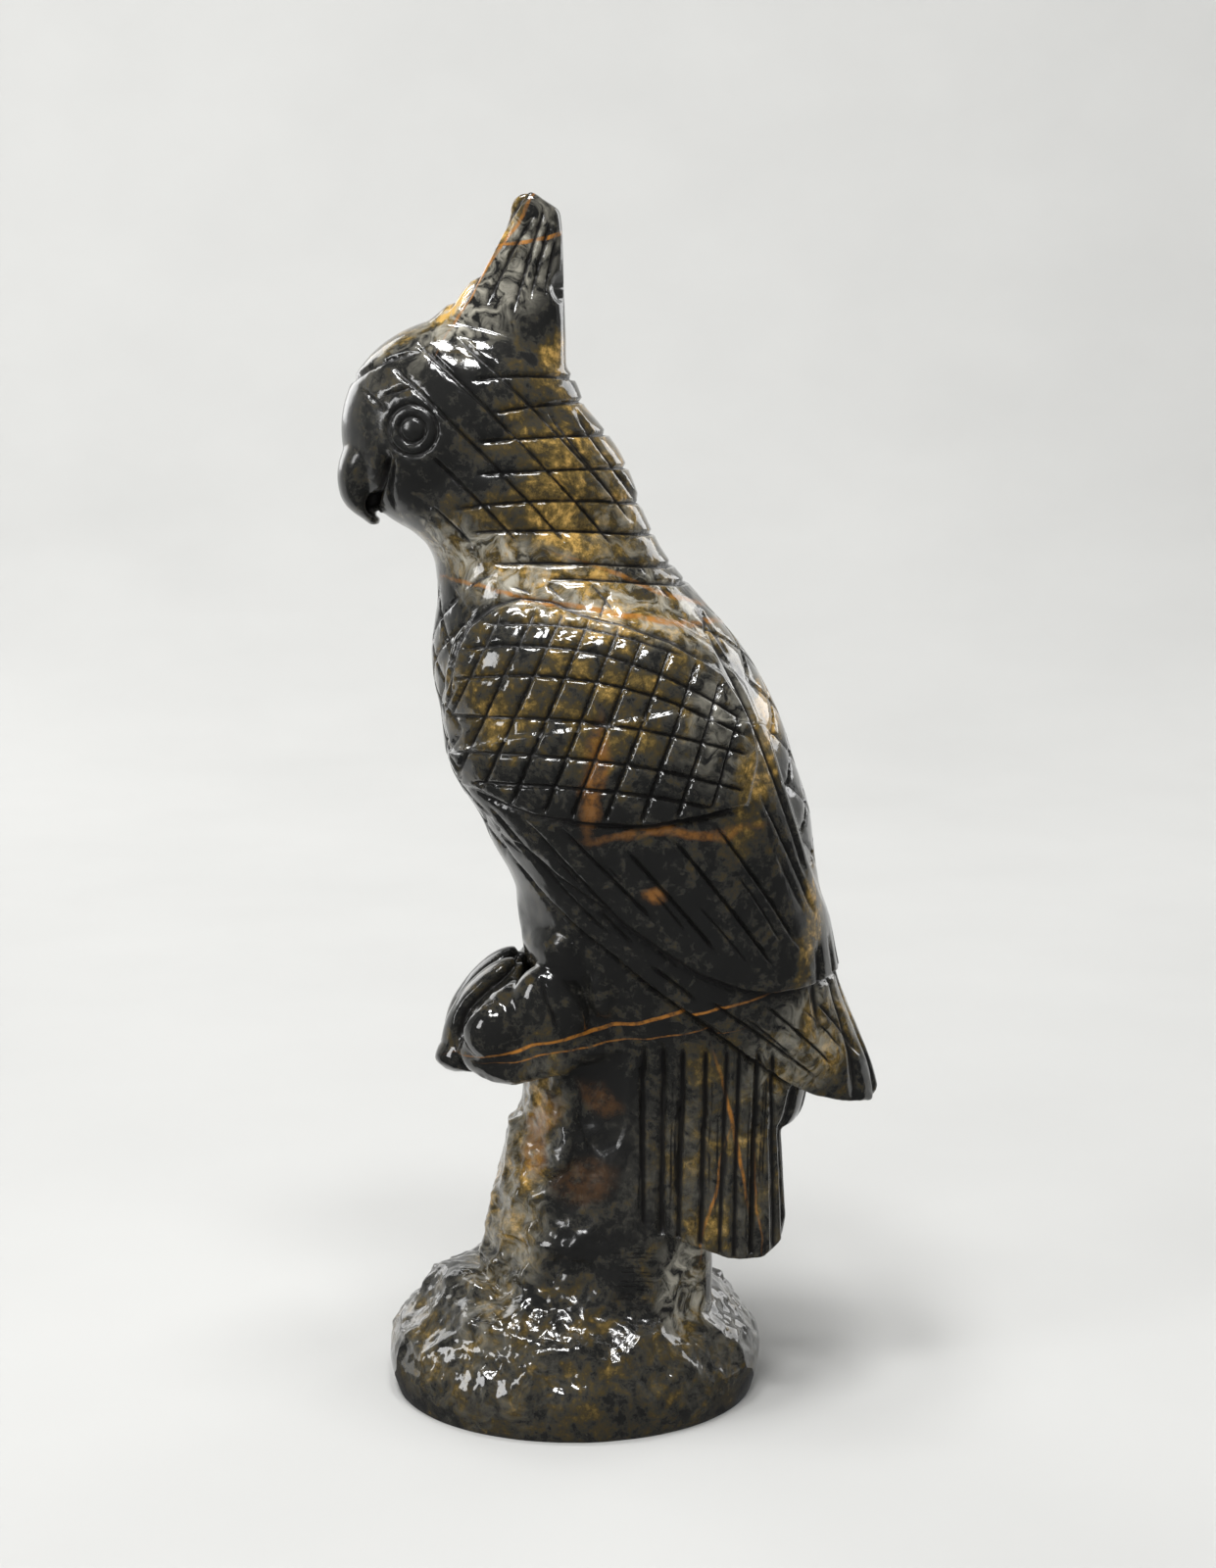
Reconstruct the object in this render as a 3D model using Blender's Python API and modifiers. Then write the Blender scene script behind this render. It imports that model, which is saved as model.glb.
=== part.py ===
"""A parrot with a raised crest on a rocky stump, carved with its plinth from one block of jasper.

The bird looks towards -X, its left flank is at -Y, and the origin is the middle of the underside.
Forms are drawn in the side view (x, z) or the front view (y, z), in units of a 250th of the height.
The grooves are wheel cuts: each is a line in one of those views, cut straight across the stone.
"""

import math

import bmesh
import bpy
import numpy as np
from mathutils import Matrix, Vector

# Driving dimensions, in metres
HEIGHT = 0.250
PLINTH_LENGTH = 0.080
PLINTH_WIDTH = 0.070
PLINTH_BAND = 0.008
PLINTH_TOP = 0.0255
GROOVE_WIDTH = 0.0023
GROOVE_DEPTH = 0.0011
LAYER_STEP = 0.0010
RIDGE_STEP = 0.0022
PANEL_DEPTH = 0.0009
ROCK_CHIP = 0.0100
ROCK_DEPTH = 0.0034
FUSE_VOXEL = 0.0007
TRIANGLES = 9700

UNIT = HEIGHT / 250
STONE_COLOUR = (0.060, 0.047, 0.037, 1.0)
STONE_ROUGHNESS = 0.14
SINK = 1.5
FIRST_PASS = 3
SEED = 7

# Horizontal sections of each form, as (height, front, back, half width)
TORSO = (
    (216, -30, -4, 8), (212, -32, -1.0, 12), (207, -36, 3.6, 15.5), (203, -38, 6.8, 17.6),
    (198, -38.2, 10.2, 18.4), (192, -37.4, 12.8, 18.6), (187.2, -36.8, 14.4, 18.2),
    (184.6, -34.6, 15.6, 18.0), (180, -29.6, 17.8, 18.4), (176, -28.1, 20.6, 19.6),
    (170, -27.7, 25.8, 22.6), (165, -28.4, 30.2, 25.4), (158.6, -29.1, 35.4, 28.4),
    (152, -28.5, 39.4, 30.2), (146, -27.3, 42.3, 31.0), (140, -26.8, 44.5, 31.2),
    (135.5, -25.6, 45.8, 31.0), (131, -23.5, 47.4, 30.4), (125, -19.6, 49.2, 29.2),
    (119, -17.0, 49.9, 27.8), (112.5, -13.4, 50.9, 26.0), (108.5, -12.0, 51.5, 25.0),
    (103.9, -11.8, 52.3, 24.0), (98, -10.6, 53.0, 22.6), (92, -8.0, 52.6, 21.2),
    (84, -3.0, 51.8, 19.4), (76, 4.0, 51.4, 18.0), (71, 8.0, 50.8, 17.4), (67, 10.2, 49.8, 17.0),
    (62, 12.4, 48.8, 16.4), (59.4, 13.4, 47.4, 15.8),
)
WING_ENVELOPE = (
    (176, -20, 14, 14), (170, -27.4, 24.8, 22.0), (167, -27.8, 27.6, 25.4), (165, -28.2, 29.6, 27.3),
    (162, -28.5, 32.6, 29.6), (158.6, -28.9, 35.0, 31.2), (152, -28.3, 39.0, 32.8),
    (146, -27.2, 42.0, 33.4), (140, -26.8, 44.2, 33.8), (131, -23.5, 47.0, 33.2),
    (125, -19.6, 49.0, 32.4), (112.5, -13.4, 50.8, 29.6), (98, -10.6, 53.6, 26.4),
    (90, -9.0, 55.4, 24.4), (80, -6.0, 59.4, 21.4), (70, -4.0, 63.4, 17.6), (62, -3.0, 65.0, 14.4),
    (54, -2.0, 65.0, 11.6),
)
TAIL_ENVELOPE = (
    (94, 10, 44, 10.0), (84, 10, 46, 13.6), (74, 9, 46, 15.2), (54, 8, 46, 16.2), (40, 8, 46, 17.6),
    (28, 8, 46, 18.6),
)
BEAK = (
    (206, -41.0, -33.0, 8.4), (202, -45.2, -35.0, 10.0), (197.4, -47.4, -36.6, 10.2),
    (194.1, -47.9, -38.0, 9.4), (190.7, -47.5, -39.4, 8.2), (188.4, -46.4, -39.9, 6.8),
    (186.8, -44.7, -39.9, 5.4), (185.5, -42.9, -39.4, 3.9), (184.2, -41.4, -39.6, 2.2),
)
MOUTH_CORE = (
    (201, -42, -34, 8.4), (194, -42, -34, 7.2), (188.4, -41.4, -34.6, 5.6), (186.8, -41.0, -37.4, 4.2),
)
CREST = (
    (250.4, -9.4, -7.6, 3.2), (249, -11.8, -5.6, 3.7), (246.6, -12.6, -2.4, 4.2),
    (243.4, -14.1, -2.0, 4.5), (240, -15.6, -1.9, 4.9), (235.8, -17.9, -1.8, 5.5),
    (232.8, -20.5, -1.7, 6.1), (229.8, -23.4, -1.6, 6.8), (226.8, -26.9, -1.5, 7.6),
    (222, -32.0, -1.3, 8.8), (214, -34.0, -1.2, 10.6), (208, -30.0, -2.0, 11.4),
)
TRUNK = (
    (94, -3.0, 20.0, 14.6), (84, -7.0, 22.0, 15.8), (72, -8.4, 23.0, 15.6), (64, -8.7, 24.5, 15.8),
    (58, -9.9, 26.0, 16.2), (53, -12.8, 27.0, 17.0), (48, -14.2, 27.8, 17.8), (41, -15.8, 28.4, 18.8),
    (34, -17.0, 28.8, 20.0), (28, -18.6, 29.0, 21.6), (20, -22.0, 29.0, 24.0), (4, -22.0, 29.0, 24.0),
)
LEDGE = (
    (85, -16, 4, 14), (81.5, -23.6, 10.0, 18.0), (78.4, -25.8, 13.0, 19.6), (76.2, -25.2, 13.4, 19.8),
    (74.6, -21.0, 10.0, 19.0), (73.6, -17.4, 4.0, 17.8),
)

# Ellipsoids, as (centre, radii, lean in the side view in degrees). Those off the middle come in pairs.
HEAD = ((-22.0, 0.0, 203.5), (25.0, 18.6, 22.6), 0)
THIGH = ((-1.0, 0.0, 98.0), (9.8, 19.5, 11.0), -20)
FEET = (
    ((-18.8, 5.0, 83.8), (5.8, 6.4, 12.8), 37),
    ((-16.0, 14.6, 81.6), (6.8, 6.4, 6.6), 0),
    ((-4.8, 15.2, 86.0), (8.0, 6.0, 9.6), -8),
    ((-10.0, 12.0, 83.2), (9.0, 7.2, 8.6), 30),
    ((6.3, 16.4, 91.6), (3.5, 3.8, 6.8), 0),
)
COLUMN = ((23.2, 9.4, 26.0), (6.0, 6.0, 30.0), 0)

# Outlines in the side view
WING = (
    (-25.6, 148), (-25.2, 156), (-23.4, 163), (-19, 168.5), (-11, 173), (0, 173), (10, 170),
    (20, 166.5), (28, 161.5), (34.5, 153.5), (38.5, 144), (41.5, 134), (45, 123), (49.5, 110),
    (55, 98), (56.5, 88), (60.4, 77.5), (63.6, 69.5), (64.2, 66.4), (62.6, 64.2), (56.0, 65.4),
    (49.6, 67.6), (44.4, 70.3), (37.9, 75.3), (31.4, 80.8), (25.1, 85.7), (18.9, 90.5), (14.0, 94.5),
    (9.1, 99.0), (4.2, 102.7), (-2.6, 108.5), (-7.0, 112.8), (-12.5, 119.5), (-18, 128.5),
    (-22.6, 138.5),
)
TAIL = (
    (11.6, 92), (12.0, 73), (12.0, 60), (11.8, 49), (12.8, 43.0), (16.4, 39.0), (19.9, 37.6), (26.4, 35.6),
    (32.6, 33.3), (39.5, 32.8), (43.8, 35.6), (44.6, 40), (44.0, 48), (43.4, 58), (42, 73), (40, 92),
)
COVERTS = (
    (-24.8, 136.5), (-25.2, 149), (-23.6, 158), (-20, 165.5), (-13, 169.5), (-2, 169.5), (10, 166.8),
    (21, 162.3), (29.5, 156.5), (34.6, 148.5), (35.8, 139.5), (34.0, 131.2), (25, 129.6), (15, 127.8),
    (3, 128.4), (-7, 129.6), (-14, 131.8), (-20, 134.4),
)
SECONDARIES = (
    (-26, 140), (-12, 145), (20, 150), (38, 146), (44, 130), (50, 112), (58, 100), (58, 92.6),
    (52.6, 92.1), (47, 91), (40.6, 90.8), (34.3, 92.0), (24.9, 95.9), (13.9, 103.8), (6.6, 109.5),
    (-3.1, 115.9), (-11.7, 123.4), (-20, 131),
)
PANEL = (
    (2.0, 77), (0.9, 74), (0.6, 61), (2.6, 57.0), (6.0, 55.4), (9.2, 57.0), (10.8, 61), (11.0, 74),
    (10.0, 77),
)
RIDGE = (
    (-0.6, 78), (-0.8, 72.8), (0.0, 61.1), (0.8, 55.8), (-1.7, 52.2), (-6.3, 49.8), (-9.7, 46.3),
    (-10.9, 41.5), (-12.6, 36.7), (-14.4, 31.3), (-17.4, 24), (-44, 22), (-44, 78),
)

# Cuts in the side view, as (first x, first z, last x, last z, rise of the middle)
NECK_RINGS = (
    (-19.8, 213.5, 4, 213.4, 1.0), (-16.6, 206.9, 10, 209.6, 0.6), (-19.3, 201.3, 14, 202.8, 0.6),
    (-19.4, 195.1, 18, 195.9, 0.6), (-24.2, 188.0, 20, 188.0, 2.0), (-21.8, 183.4, 22, 181.9, 1.4),
    (-16.9, 177.5, 26, 175.6, 1.2), (-5.9, 175.0, 30, 171.8, 0.8),
)
NECK_SLANTS = (
    (-28.4, 189.3, -19.1, 180.1, 0), (-28.6, 199.6, -9.8, 180.8, 0.4), (-35.9, 216.7, -0.5, 181.1, 1.0),
    (-31.1, 221.5, 9.3, 180.1, 1.6), (-22.8, 222.0, 10.4, 188.5, 1.6), (-4.9, 207.6, 12.6, 185.1, 0.4),
    (0.5, 207.5, 15.0, 187.0, 0),
)
CROWN = (
    (-46.0, 212.4, -29.2, 218.8, 1.4), (-38.6, 209.7, -30.1, 212.4, 0.3), (-42.6, 212.6, -36.3, 207.1, 0),
)
FLIGHT = (
    (-16.5, 130.5, 9.0, 103.0, -1.5), (-9.6, 128.5, 12.6, 104.6, -0.4), (-3.0, 128.0, 17.6, 106.4, 0),
    (9.0, 124.6, 30.2, 99.2, 0.4), (18.6, 126.5, 41.8, 95.6, 0.8), (27.0, 129.3, 46.6, 99.6, 1.2),
    (36.9, 133.8, 49.4, 106.0, 1.2),
)
PRIMARIES = (
    (4.2, 110.6, 13.0, 101.5, 0), (14.5, 98.5, 26.0, 89.0, 0.4), (26.9, 90.5, 51.0, 71.0, 0.6),
    (38.1, 89.4, 54.6, 73.0, 0.8), (49.1, 89.2, 60.0, 74.4, 0.8),
)
WING_EDGE = (
    (-11.7, 123.4), (-3.1, 115.9), (6.6, 109.5), (13.9, 103.8), (24.9, 95.9), (34.3, 92.0),
    (40.6, 90.8), (47.1, 91.0), (56, 92.4),
)
CREST_CUTS = (
    (-8.3, 251.0, -22.1, 226.9, 2.2), (-5.0, 248.0, -11.6, 226.5, 1.0), (-2.4, 243.0, -5.4, 229.3, 0.4),
    (-12.4, 245.0, -25.2, 226.5, 2.0),
)
EYE = (-31.4, 203.8)
EYE_RINGS = (2.6, 5.0)
MOUTH = ((-36.4, 199.6), (-37.6, 195.0), (-39.0, 191.4), (-40.4, 188.6), (-40.2, 185.6))
JAW = ((-34.9, 198.7), (-35.6, 194.8), (-36.3, 190.8), (-35.4, 187.4))
TOE_GAP = ((-10.4, 94.8), (-13.6, 92.4), (-17.4, 90.0), (-21.8, 86.0), (-23.5, 83.0), (-24.0, 76.4))
TOE_CREASE = ((-6.4, 94.0), (-4.9, 89.0), (-2.6, 82.0))
CHIP = (-1.4, -4.0, 231.6)
CHIP_RADIUS = 3.6
CHIP_DEPTH = 1.5

# How long a cut takes to run out
RUN_OUT = 3.5
SHORT_RUN_OUT = 2.0
FLUTE_COUNT = 7

# Cross-hatching of the shoulder: arches, as (height over their middle, how fast they fall), and a fan
COVERT_ARCHES = (
    (135.4, 0.0036), (141.4, 0.0040), (149.0, 0.0043), (157.6, 0.0069), (162.6, 0.0085), (167.2, 0.0069),
)
ARCH_MIDDLE = -8
FAN_COUNT = 12
FAN_START, FAN_PITCH = -18.6, 6.0
FAN_LEAN, FAN_LEAN_STEP = 0.50, 0.016
FAN_HEIGHTS = (171, 126)
FAN_RISE = 1.0

# Patches, each as two ramps: where it starts and is full, and where it wanes and ends
ROCK_HEIGHTS = ((6.4, 12), (58, 74))
THIGH_HEIGHTS = ((97, 100), (104, 108))
BREAST_HEIGHTS = ((116, 122), (168, 174))
MANTLE_HEIGHTS = ((100, 106), (164, 170))
TAIL_BACK_HEIGHTS = ((34, 38), (96, 104))
RIDGE_HEIGHTS = ((22, 30), (74, 77))

# Single ramps, as (where the patch starts, where it is full)
GROUND_BEHIND, GROUND_ABOVE = (3, 8), (24, 32)
UNDER_TAIL_BEHIND, UNDER_TAIL_ABOVE = (12, 17), (18, 24)
BEHIND_THIGH = (2, 8)
PARTING_ABOVE = (222, 228)
ABOVE_WING_TIPS, WING_TIPS_BEHIND = (100, 112), (49, 51)
TAIL_BACK_BEHIND = (38, 42)
FRONT_FACING, BACK_FACING = (0.55, 0.8), (0.35, 0.6)
FLANK_FACING = (0.3, 0.6)

# Crossing cuts of the breast and the mantle, as (height between cuts, slope)
BREAST_LATTICE = (8.5, 0.9)
MANTLE_LATTICE = (10.5, 0.75)
TAIL_BACK_PITCH = 5.6
THIGH_ROCK = 0.3
RIDGE_ROCK = 0.8


def clear_scene():
    """Removes whatever the scene starts with."""
    for obj in list(bpy.data.objects):
        bpy.data.objects.remove(obj, do_unlink=True)


def smooth_through(knots_x, knots_y, at):
    """Monotone cubic through the knots, read at the given places."""
    x, y = np.asarray(knots_x, float), np.asarray(knots_y, float)
    step = np.diff(x)
    slope = np.diff(y) / step
    tangent = np.zeros_like(y)
    same_way = slope[:-1] * slope[1:] > 0
    weight = (step[1:] + 2 * step[:-1], 2 * step[1:] + step[:-1])
    with np.errstate(divide="ignore", invalid="ignore"):
        mean = (weight[0] + weight[1]) / (weight[0] / slope[:-1] + weight[1] / slope[1:])
    tangent[1:-1] = np.where(same_way, mean, 0)
    tangent[0], tangent[-1] = slope[0], slope[-1]
    i = np.clip(np.searchsorted(x, at) - 1, 0, len(step) - 1)
    t = (at - x[i]) / step[i]
    return (
        y[i] * (1 + 2 * t) * (1 - t) ** 2
        + tangent[i] * step[i] * t * (1 - t) ** 2
        + y[i + 1] * t * t * (3 - 2 * t)
        + tangent[i + 1] * step[i] * t * t * (t - 1)
    )


def new_object(name, mesh, collection):
    """An object in a collection, at the origin."""
    obj = bpy.data.objects.new(name, mesh)
    collection.objects.link(obj)
    return obj


def loft(name, sections, collection, squareness=2.2, levels=110, around=80):
    """A closed body through horizontal super-ellipse sections, given as (height, front, back, half width)."""
    table = np.array(sections, float)[np.argsort([s[0] for s in sections])]
    height = np.linspace(table[0, 0], table[-1, 0], levels)
    front, back, half = (smooth_through(table[:, 0], table[:, k], height) for k in (1, 2, 3))
    turn = np.linspace(0, 2 * math.pi, around, endpoint=False)
    power = 2 / squareness
    across = np.sign(np.cos(turn)) * np.abs(np.cos(turn)) ** power
    aside = np.sign(np.sin(turn)) * np.abs(np.sin(turn)) ** power
    x = ((front + back) / 2)[:, None] + ((back - front) / 2)[:, None] * across
    y = half[:, None] * aside
    z = np.repeat(height[:, None], around, axis=1)
    points = np.stack([x, y, z], axis=-1).reshape(-1, 3) * UNIT
    faces = []
    for low in range(0, (levels - 1) * around, around):
        high = low + around
        for c in range(around):
            beside = (c + 1) % around
            faces.append((low + c, low + beside, high + beside, high + c))
    faces.append(tuple(reversed(range(around))))
    faces.append(tuple(range((levels - 1) * around, levels * around)))
    mesh = bpy.data.meshes.new(name)
    mesh.from_pydata(points.tolist(), [], faces)
    mesh.validate()
    return new_object(name, mesh, collection)


def ball(name, shape, collection, side=1, segments=56):
    """An ellipsoid, leaning in the side view, on one side of the bird."""
    (x, y, z), radii, lean = shape
    form = bmesh.new()
    bmesh.ops.create_uvsphere(form, u_segments=segments, v_segments=segments // 2, radius=1)
    place = (
        Matrix.Translation(Vector((x, y * side, z)) * UNIT)
        @ Matrix.Rotation(math.radians(lean), 4, "Y")
        @ Matrix.Diagonal((*(r * UNIT for r in radii), 1))
    )
    form.transform(place)
    mesh = bpy.data.meshes.new(name)
    form.to_mesh(mesh)
    form.free()
    return new_object(name, mesh, collection)


def pair(name, shape, collection):
    """The same ellipsoid on both sides of the bird."""
    return [ball(f"{name}_{side}", shape, collection, side) for side in (-1, 1)]


def side_prism(name, outline, half_width, collection):
    """A side-view outline extruded across the whole bird."""
    form = bmesh.new()
    corners = [form.verts.new((x * UNIT, -half_width * UNIT, z * UNIT)) for x, z in outline]
    face = form.faces.new(corners)
    pushed = bmesh.ops.extrude_face_region(form, geom=[face])
    moved = [v for v in pushed["geom"] if isinstance(v, bmesh.types.BMVert)]
    bmesh.ops.translate(form, verts=moved, vec=(0, 2 * half_width * UNIT, 0))
    bmesh.ops.recalc_face_normals(form, faces=form.faces)
    mesh = bpy.data.meshes.new(name)
    form.to_mesh(mesh)
    form.free()
    return new_object(name, mesh, collection)


def evaluated_mesh(obj):
    """A new mesh of the object with its modifiers applied."""
    bpy.context.view_layer.update()
    return bpy.data.meshes.new_from_object(obj.evaluated_get(bpy.context.evaluated_depsgraph_get()))


def in_fixed_order(mesh):
    """The same mesh with its points and faces sorted by place, so that each run matches."""
    places = [tuple(v.co) for v in mesh.vertices]
    order = sorted(range(len(places)), key=lambda index: places[index])
    rank = {old: new for new, old in enumerate(order)}
    faces = []
    for polygon in mesh.polygons:
        corners = [rank[index] for index in polygon.vertices]
        first = corners.index(min(corners))
        faces.append(tuple(corners[first:] + corners[:first]))
    ordered = bpy.data.meshes.new(mesh.name)
    ordered.from_pydata([places[index] for index in order], [], sorted(faces))
    return ordered


def shaped_slab(name, outline, envelope, collection, squareness):
    """A side-view outline cut out of the whole width and rounded by an envelope of sections."""
    slab = side_prism(name + "_slab", outline, 60, collection)
    skin = loft(name + "_envelope", envelope, collection, squareness)
    cut = slab.modifiers.new("shape", "BOOLEAN")
    cut.operation = "INTERSECT"
    cut.object = skin
    mesh = in_fixed_order(evaluated_mesh(slab))
    bpy.data.objects.remove(slab)
    bpy.data.objects.remove(skin)
    return new_object(name, mesh, collection)


def plinth(collection):
    """The rocky mound under the stump, fuller in front, with a smooth band round its foot."""
    half_x, half_y = PLINTH_LENGTH / 2 / UNIT, PLINTH_WIDTH / 2 / UNIT
    band, rise = PLINTH_BAND / UNIT, (PLINTH_TOP - PLINTH_BAND) / UNIT
    profile = (
        (-SINK, 0.945, 0.945), (0, 0.955, 0.955), (band * 0.6, 0.990, 0.990), (band, 1.0, 1.0),
        (band + rise * 0.14, 0.995, 0.99), (band + rise * 0.36, 0.945, 0.935),
        (band + rise * 0.60, 0.86, 0.845), (band + rise * 0.82, 0.765, 0.725), (band + rise, 0.64, 0.56),
    )
    sections = [(z, -half_x * front, half_x * back, half_y * back) for z, front, back in profile]
    return loft("mound", sections, collection, squareness=2.0, levels=40, around=120)


def forms(collection):
    """Every form of the carving, overlapping its neighbours."""
    feet = [part for k, shape in enumerate(FEET) for part in pair(f"foot_{k}", shape, collection)]
    return [
        loft("torso", TORSO, collection),
        shaped_slab("wings", WING, WING_ENVELOPE, collection, squareness=2.5),
        shaped_slab("tail", TAIL, TAIL_ENVELOPE, collection, squareness=3.0),
        ball("head", HEAD, collection, segments=72),
        loft("beak", BEAK, collection, levels=50, around=48),
        loft("mouth_core", MOUTH_CORE, collection, levels=20, around=32),
        loft("crest", CREST, collection, squareness=2.8, levels=90, around=56),
        loft("trunk", TRUNK, collection, levels=90),
        loft("ledge", LEDGE, collection, squareness=2.6, levels=40, around=60),
        ball("thigh", THIGH, collection),
        *feet,
        *pair("column", COLUMN, collection),
        plinth(collection),
    ]


def fuse(parts, collection):
    """One closed mesh of all the forms, with soft junctions."""
    joined = bmesh.new()
    for part in parts:
        joined.from_mesh(part.data)
        bpy.data.objects.remove(part)
    mesh = bpy.data.meshes.new("forms")
    joined.to_mesh(mesh)
    joined.free()
    block = new_object("block", mesh, collection)
    remesh = block.modifiers.new("fuse", "REMESH")
    remesh.mode = "VOXEL"
    remesh.voxel_size = FUSE_VOXEL
    soften = block.modifiers.new("soften", "SMOOTH")
    soften.factor = 0.5
    soften.iterations = 8
    fused = evaluated_mesh(block)
    bpy.data.objects.remove(block)
    return fused


def smooth_step(value, low, high):
    """0 below low, 1 above high, and a smooth ramp between them."""
    t = np.clip((value - low) / (high - low), 0, 1)
    return t * t * (3 - 2 * t)


def between(value, ramps):
    """1 on the patch that two ramps bound, and 0 off it."""
    start, end = ramps
    return smooth_step(value, *start) * (1 - smooth_step(value, *end))


def along_path(view, path):
    """Distance of each point of a flat view to an open path, how far along it that is, and its length."""
    nearest = np.full(len(view), np.inf)
    along = np.zeros(len(view))
    run = 0.0
    for start, end in zip(path[:-1], path[1:]):
        start, step = np.array(start), np.subtract(end, start)
        length = np.hypot(*step)
        share = np.clip((view - start) @ step / length**2, 0, 1)
        gap = np.hypot(*(view - start - share[:, None] * step).T)
        along = np.where(gap < nearest, run + share * length, along)
        nearest = np.minimum(gap, nearest)
        run += length
    return nearest, along, run


def inside_outline(view, outline):
    """Distance of each point of a flat view to a closed outline, positive inside it."""
    gap = along_path(view, (*outline, outline[0]))[0]
    inside = np.zeros(len(view), bool)
    for (x0, z0), (x1, z1) in zip(outline, (*outline[1:], outline[0])):
        spans = (z0 > view[:, 1]) != (z1 > view[:, 1])
        with np.errstate(divide="ignore", invalid="ignore"):
            crossing = x0 + (view[:, 1] - z0) * (x1 - x0) / (z1 - z0)
        inside ^= spans & (view[:, 0] < crossing)
    return np.where(inside, gap, -gap)


def bow(first_x, first_z, last_x, last_z, rise=0, pieces=6):
    """A shallow arc between two points, as a path."""
    share = np.linspace(0, 1, pieces + 1)
    lift = 4 * rise * share * (1 - share)
    x = first_x + share * (last_x - first_x)
    return np.stack([x, first_z + share * (last_z - first_z) + lift], axis=1)


def covert_cuts():
    """The cross-hatching of the shoulder: arches along the wing and a fan of cuts down it."""
    paths = []
    for top, sag in COVERT_ARCHES:
        paths.append([(x, top - sag * (x - ARCH_MIDDLE) ** 2) for x in range(-28, 42, 6)])
    head_z, foot_z = FAN_HEIGHTS
    for k in range(FAN_COUNT):
        head_x = FAN_START + FAN_PITCH * k
        lean = FAN_LEAN - FAN_LEAN_STEP * k
        paths.append(bow(head_x, head_z, head_x - lean * (head_z - foot_z), foot_z, FAN_RISE))
    return paths


def flutes():
    """The grooves down the flank of the tail."""
    return [bow(16.4 + 4.5 * k, 80, 15.6 + 4.4 * k, 30) for k in range(FLUTE_COUNT)]


def wheel_cuts(view, paths, width, depth, taper=RUN_OUT):
    """How deep the nearest of some V-shaped cuts is at each point of a flat view."""
    deepest = np.zeros(len(view))
    for path in paths:
        path = np.asarray(path, float)
        near = np.all((view > path.min(axis=0) - width) & (view < path.max(axis=0) + width), axis=1)
        gap, along, length = along_path(view[near], path)
        ends = np.clip(np.minimum(along, length - along) / taper, 0, 1)
        cut = depth * np.clip(1 - 2 * gap / width, 0, None) * ends
        deepest[near] = np.maximum(deepest[near], cut)
    return deepest


def lattice(view, pattern, width, depth):
    """Two crossing families of straight cuts, as (height between cuts, slope)."""
    pitch, slope = pattern
    deepest = np.zeros(len(view))
    for lean in (slope, -slope):
        level = (view[:, 1] - lean * view[:, 0]) / pitch
        gap = np.abs(level - np.round(level)) * pitch / math.hypot(1, lean)
        deepest = np.maximum(deepest, depth * np.clip(1 - 2 * gap / width, 0, None))
    return deepest


def scooped(points, cell, depth, seed):
    """Chisel scoops: shallow hollows round scattered points, with ridges where they meet."""
    rng = np.random.default_rng(seed)
    low, high = points.min(axis=0) - cell, points.max(axis=0) + cell
    count = (np.ceil((high - low) / cell)).astype(int)
    grid = np.stack(np.meshgrid(*(np.arange(n) for n in count), indexing="ij"), axis=-1).reshape(-1, 3)
    centres = low + (grid + rng.uniform(0.1, 0.9, grid.shape)) * cell
    nearest = np.full(len(points), np.inf)
    for centre in centres:
        near = np.all(np.abs(points - centre) < 1.3 * cell, axis=1)
        nearest[near] = np.minimum(nearest[near], np.sum((points[near] - centre) ** 2, axis=1))
    return depth * (np.clip(nearest / cell**2, 0, 1.2) - 0.45)


def layers(side):
    """The raised layers of the wing, stepping down from the shoulder to the wing tip."""
    step = LAYER_STEP / UNIT
    coverts = smooth_step(inside_outline(side, COVERTS), -0.7, 0.9)
    secondaries = smooth_step(inside_outline(side, SECONDARIES), -0.5, 0.8)
    on_wing = smooth_step(inside_outline(side, WING), -1.5, 0.5)
    return step * on_wing * (coverts + secondaries)


def rock(points, side):
    """Chiselled rock on the plinth and the stump's ridge, smooth where the wheel ground it flat."""
    chip, depth = ROCK_CHIP / UNIT, ROCK_DEPTH / UNIT
    x, _, z = points.T
    ridge = smooth_step(inside_outline(side, RIDGE), -0.8, 1.0) * between(z, RIDGE_HEIGHTS)
    ground = smooth_step(x, *GROUND_BEHIND) * smooth_step(z, *GROUND_ABOVE)
    under_tail = smooth_step(x, *UNDER_TAIL_BEHIND) * smooth_step(z, *UNDER_TAIL_ABOVE)
    where = between(z, ROCK_HEIGHTS) * (1 - np.maximum(ground, under_tail))
    thigh = THIGH_ROCK * between(z, THIGH_HEIGHTS) * (1 - smooth_step(x, *BEHIND_THIGH))
    where = np.maximum.reduce([where, thigh, RIDGE_ROCK * ridge])
    reach = z < THIGH_HEIGHTS[1][1]
    relief = np.zeros(len(points))
    relief[reach] = scooped(points[reach], chip, depth, SEED)
    panel = smooth_step(inside_outline(side, PANEL), -0.6, 0.6)
    return relief * where + RIDGE_STEP / UNIT * ridge - PANEL_DEPTH / UNIT * panel


def side_cuts(side, width, depth):
    """The wheel cuts drawn in the side view, in families of one width, depth and run-out."""
    lines = [bow(*line) for line in NECK_RINGS + NECK_SLANTS + CROWN + PRIMARIES + CREST_CUTS + FLIGHT]
    families = (
        (lines, 1.0, 1.0, RUN_OUT),
        ([WING_EDGE], 1.2, 1.5, RUN_OUT),
        ([MOUTH], 1.1, 2.0, SHORT_RUN_OUT),
        ([JAW], 0.9, 0.7, SHORT_RUN_OUT),
        ([TOE_GAP], 1.4, 2.0, RUN_OUT),
        ([TOE_CREASE], 1.0, 1.0, RUN_OUT),
    )
    return [
        wheel_cuts(side, paths, wide * width, deep * depth, run_out)
        for paths, wide, deep, run_out in families
    ]


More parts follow.
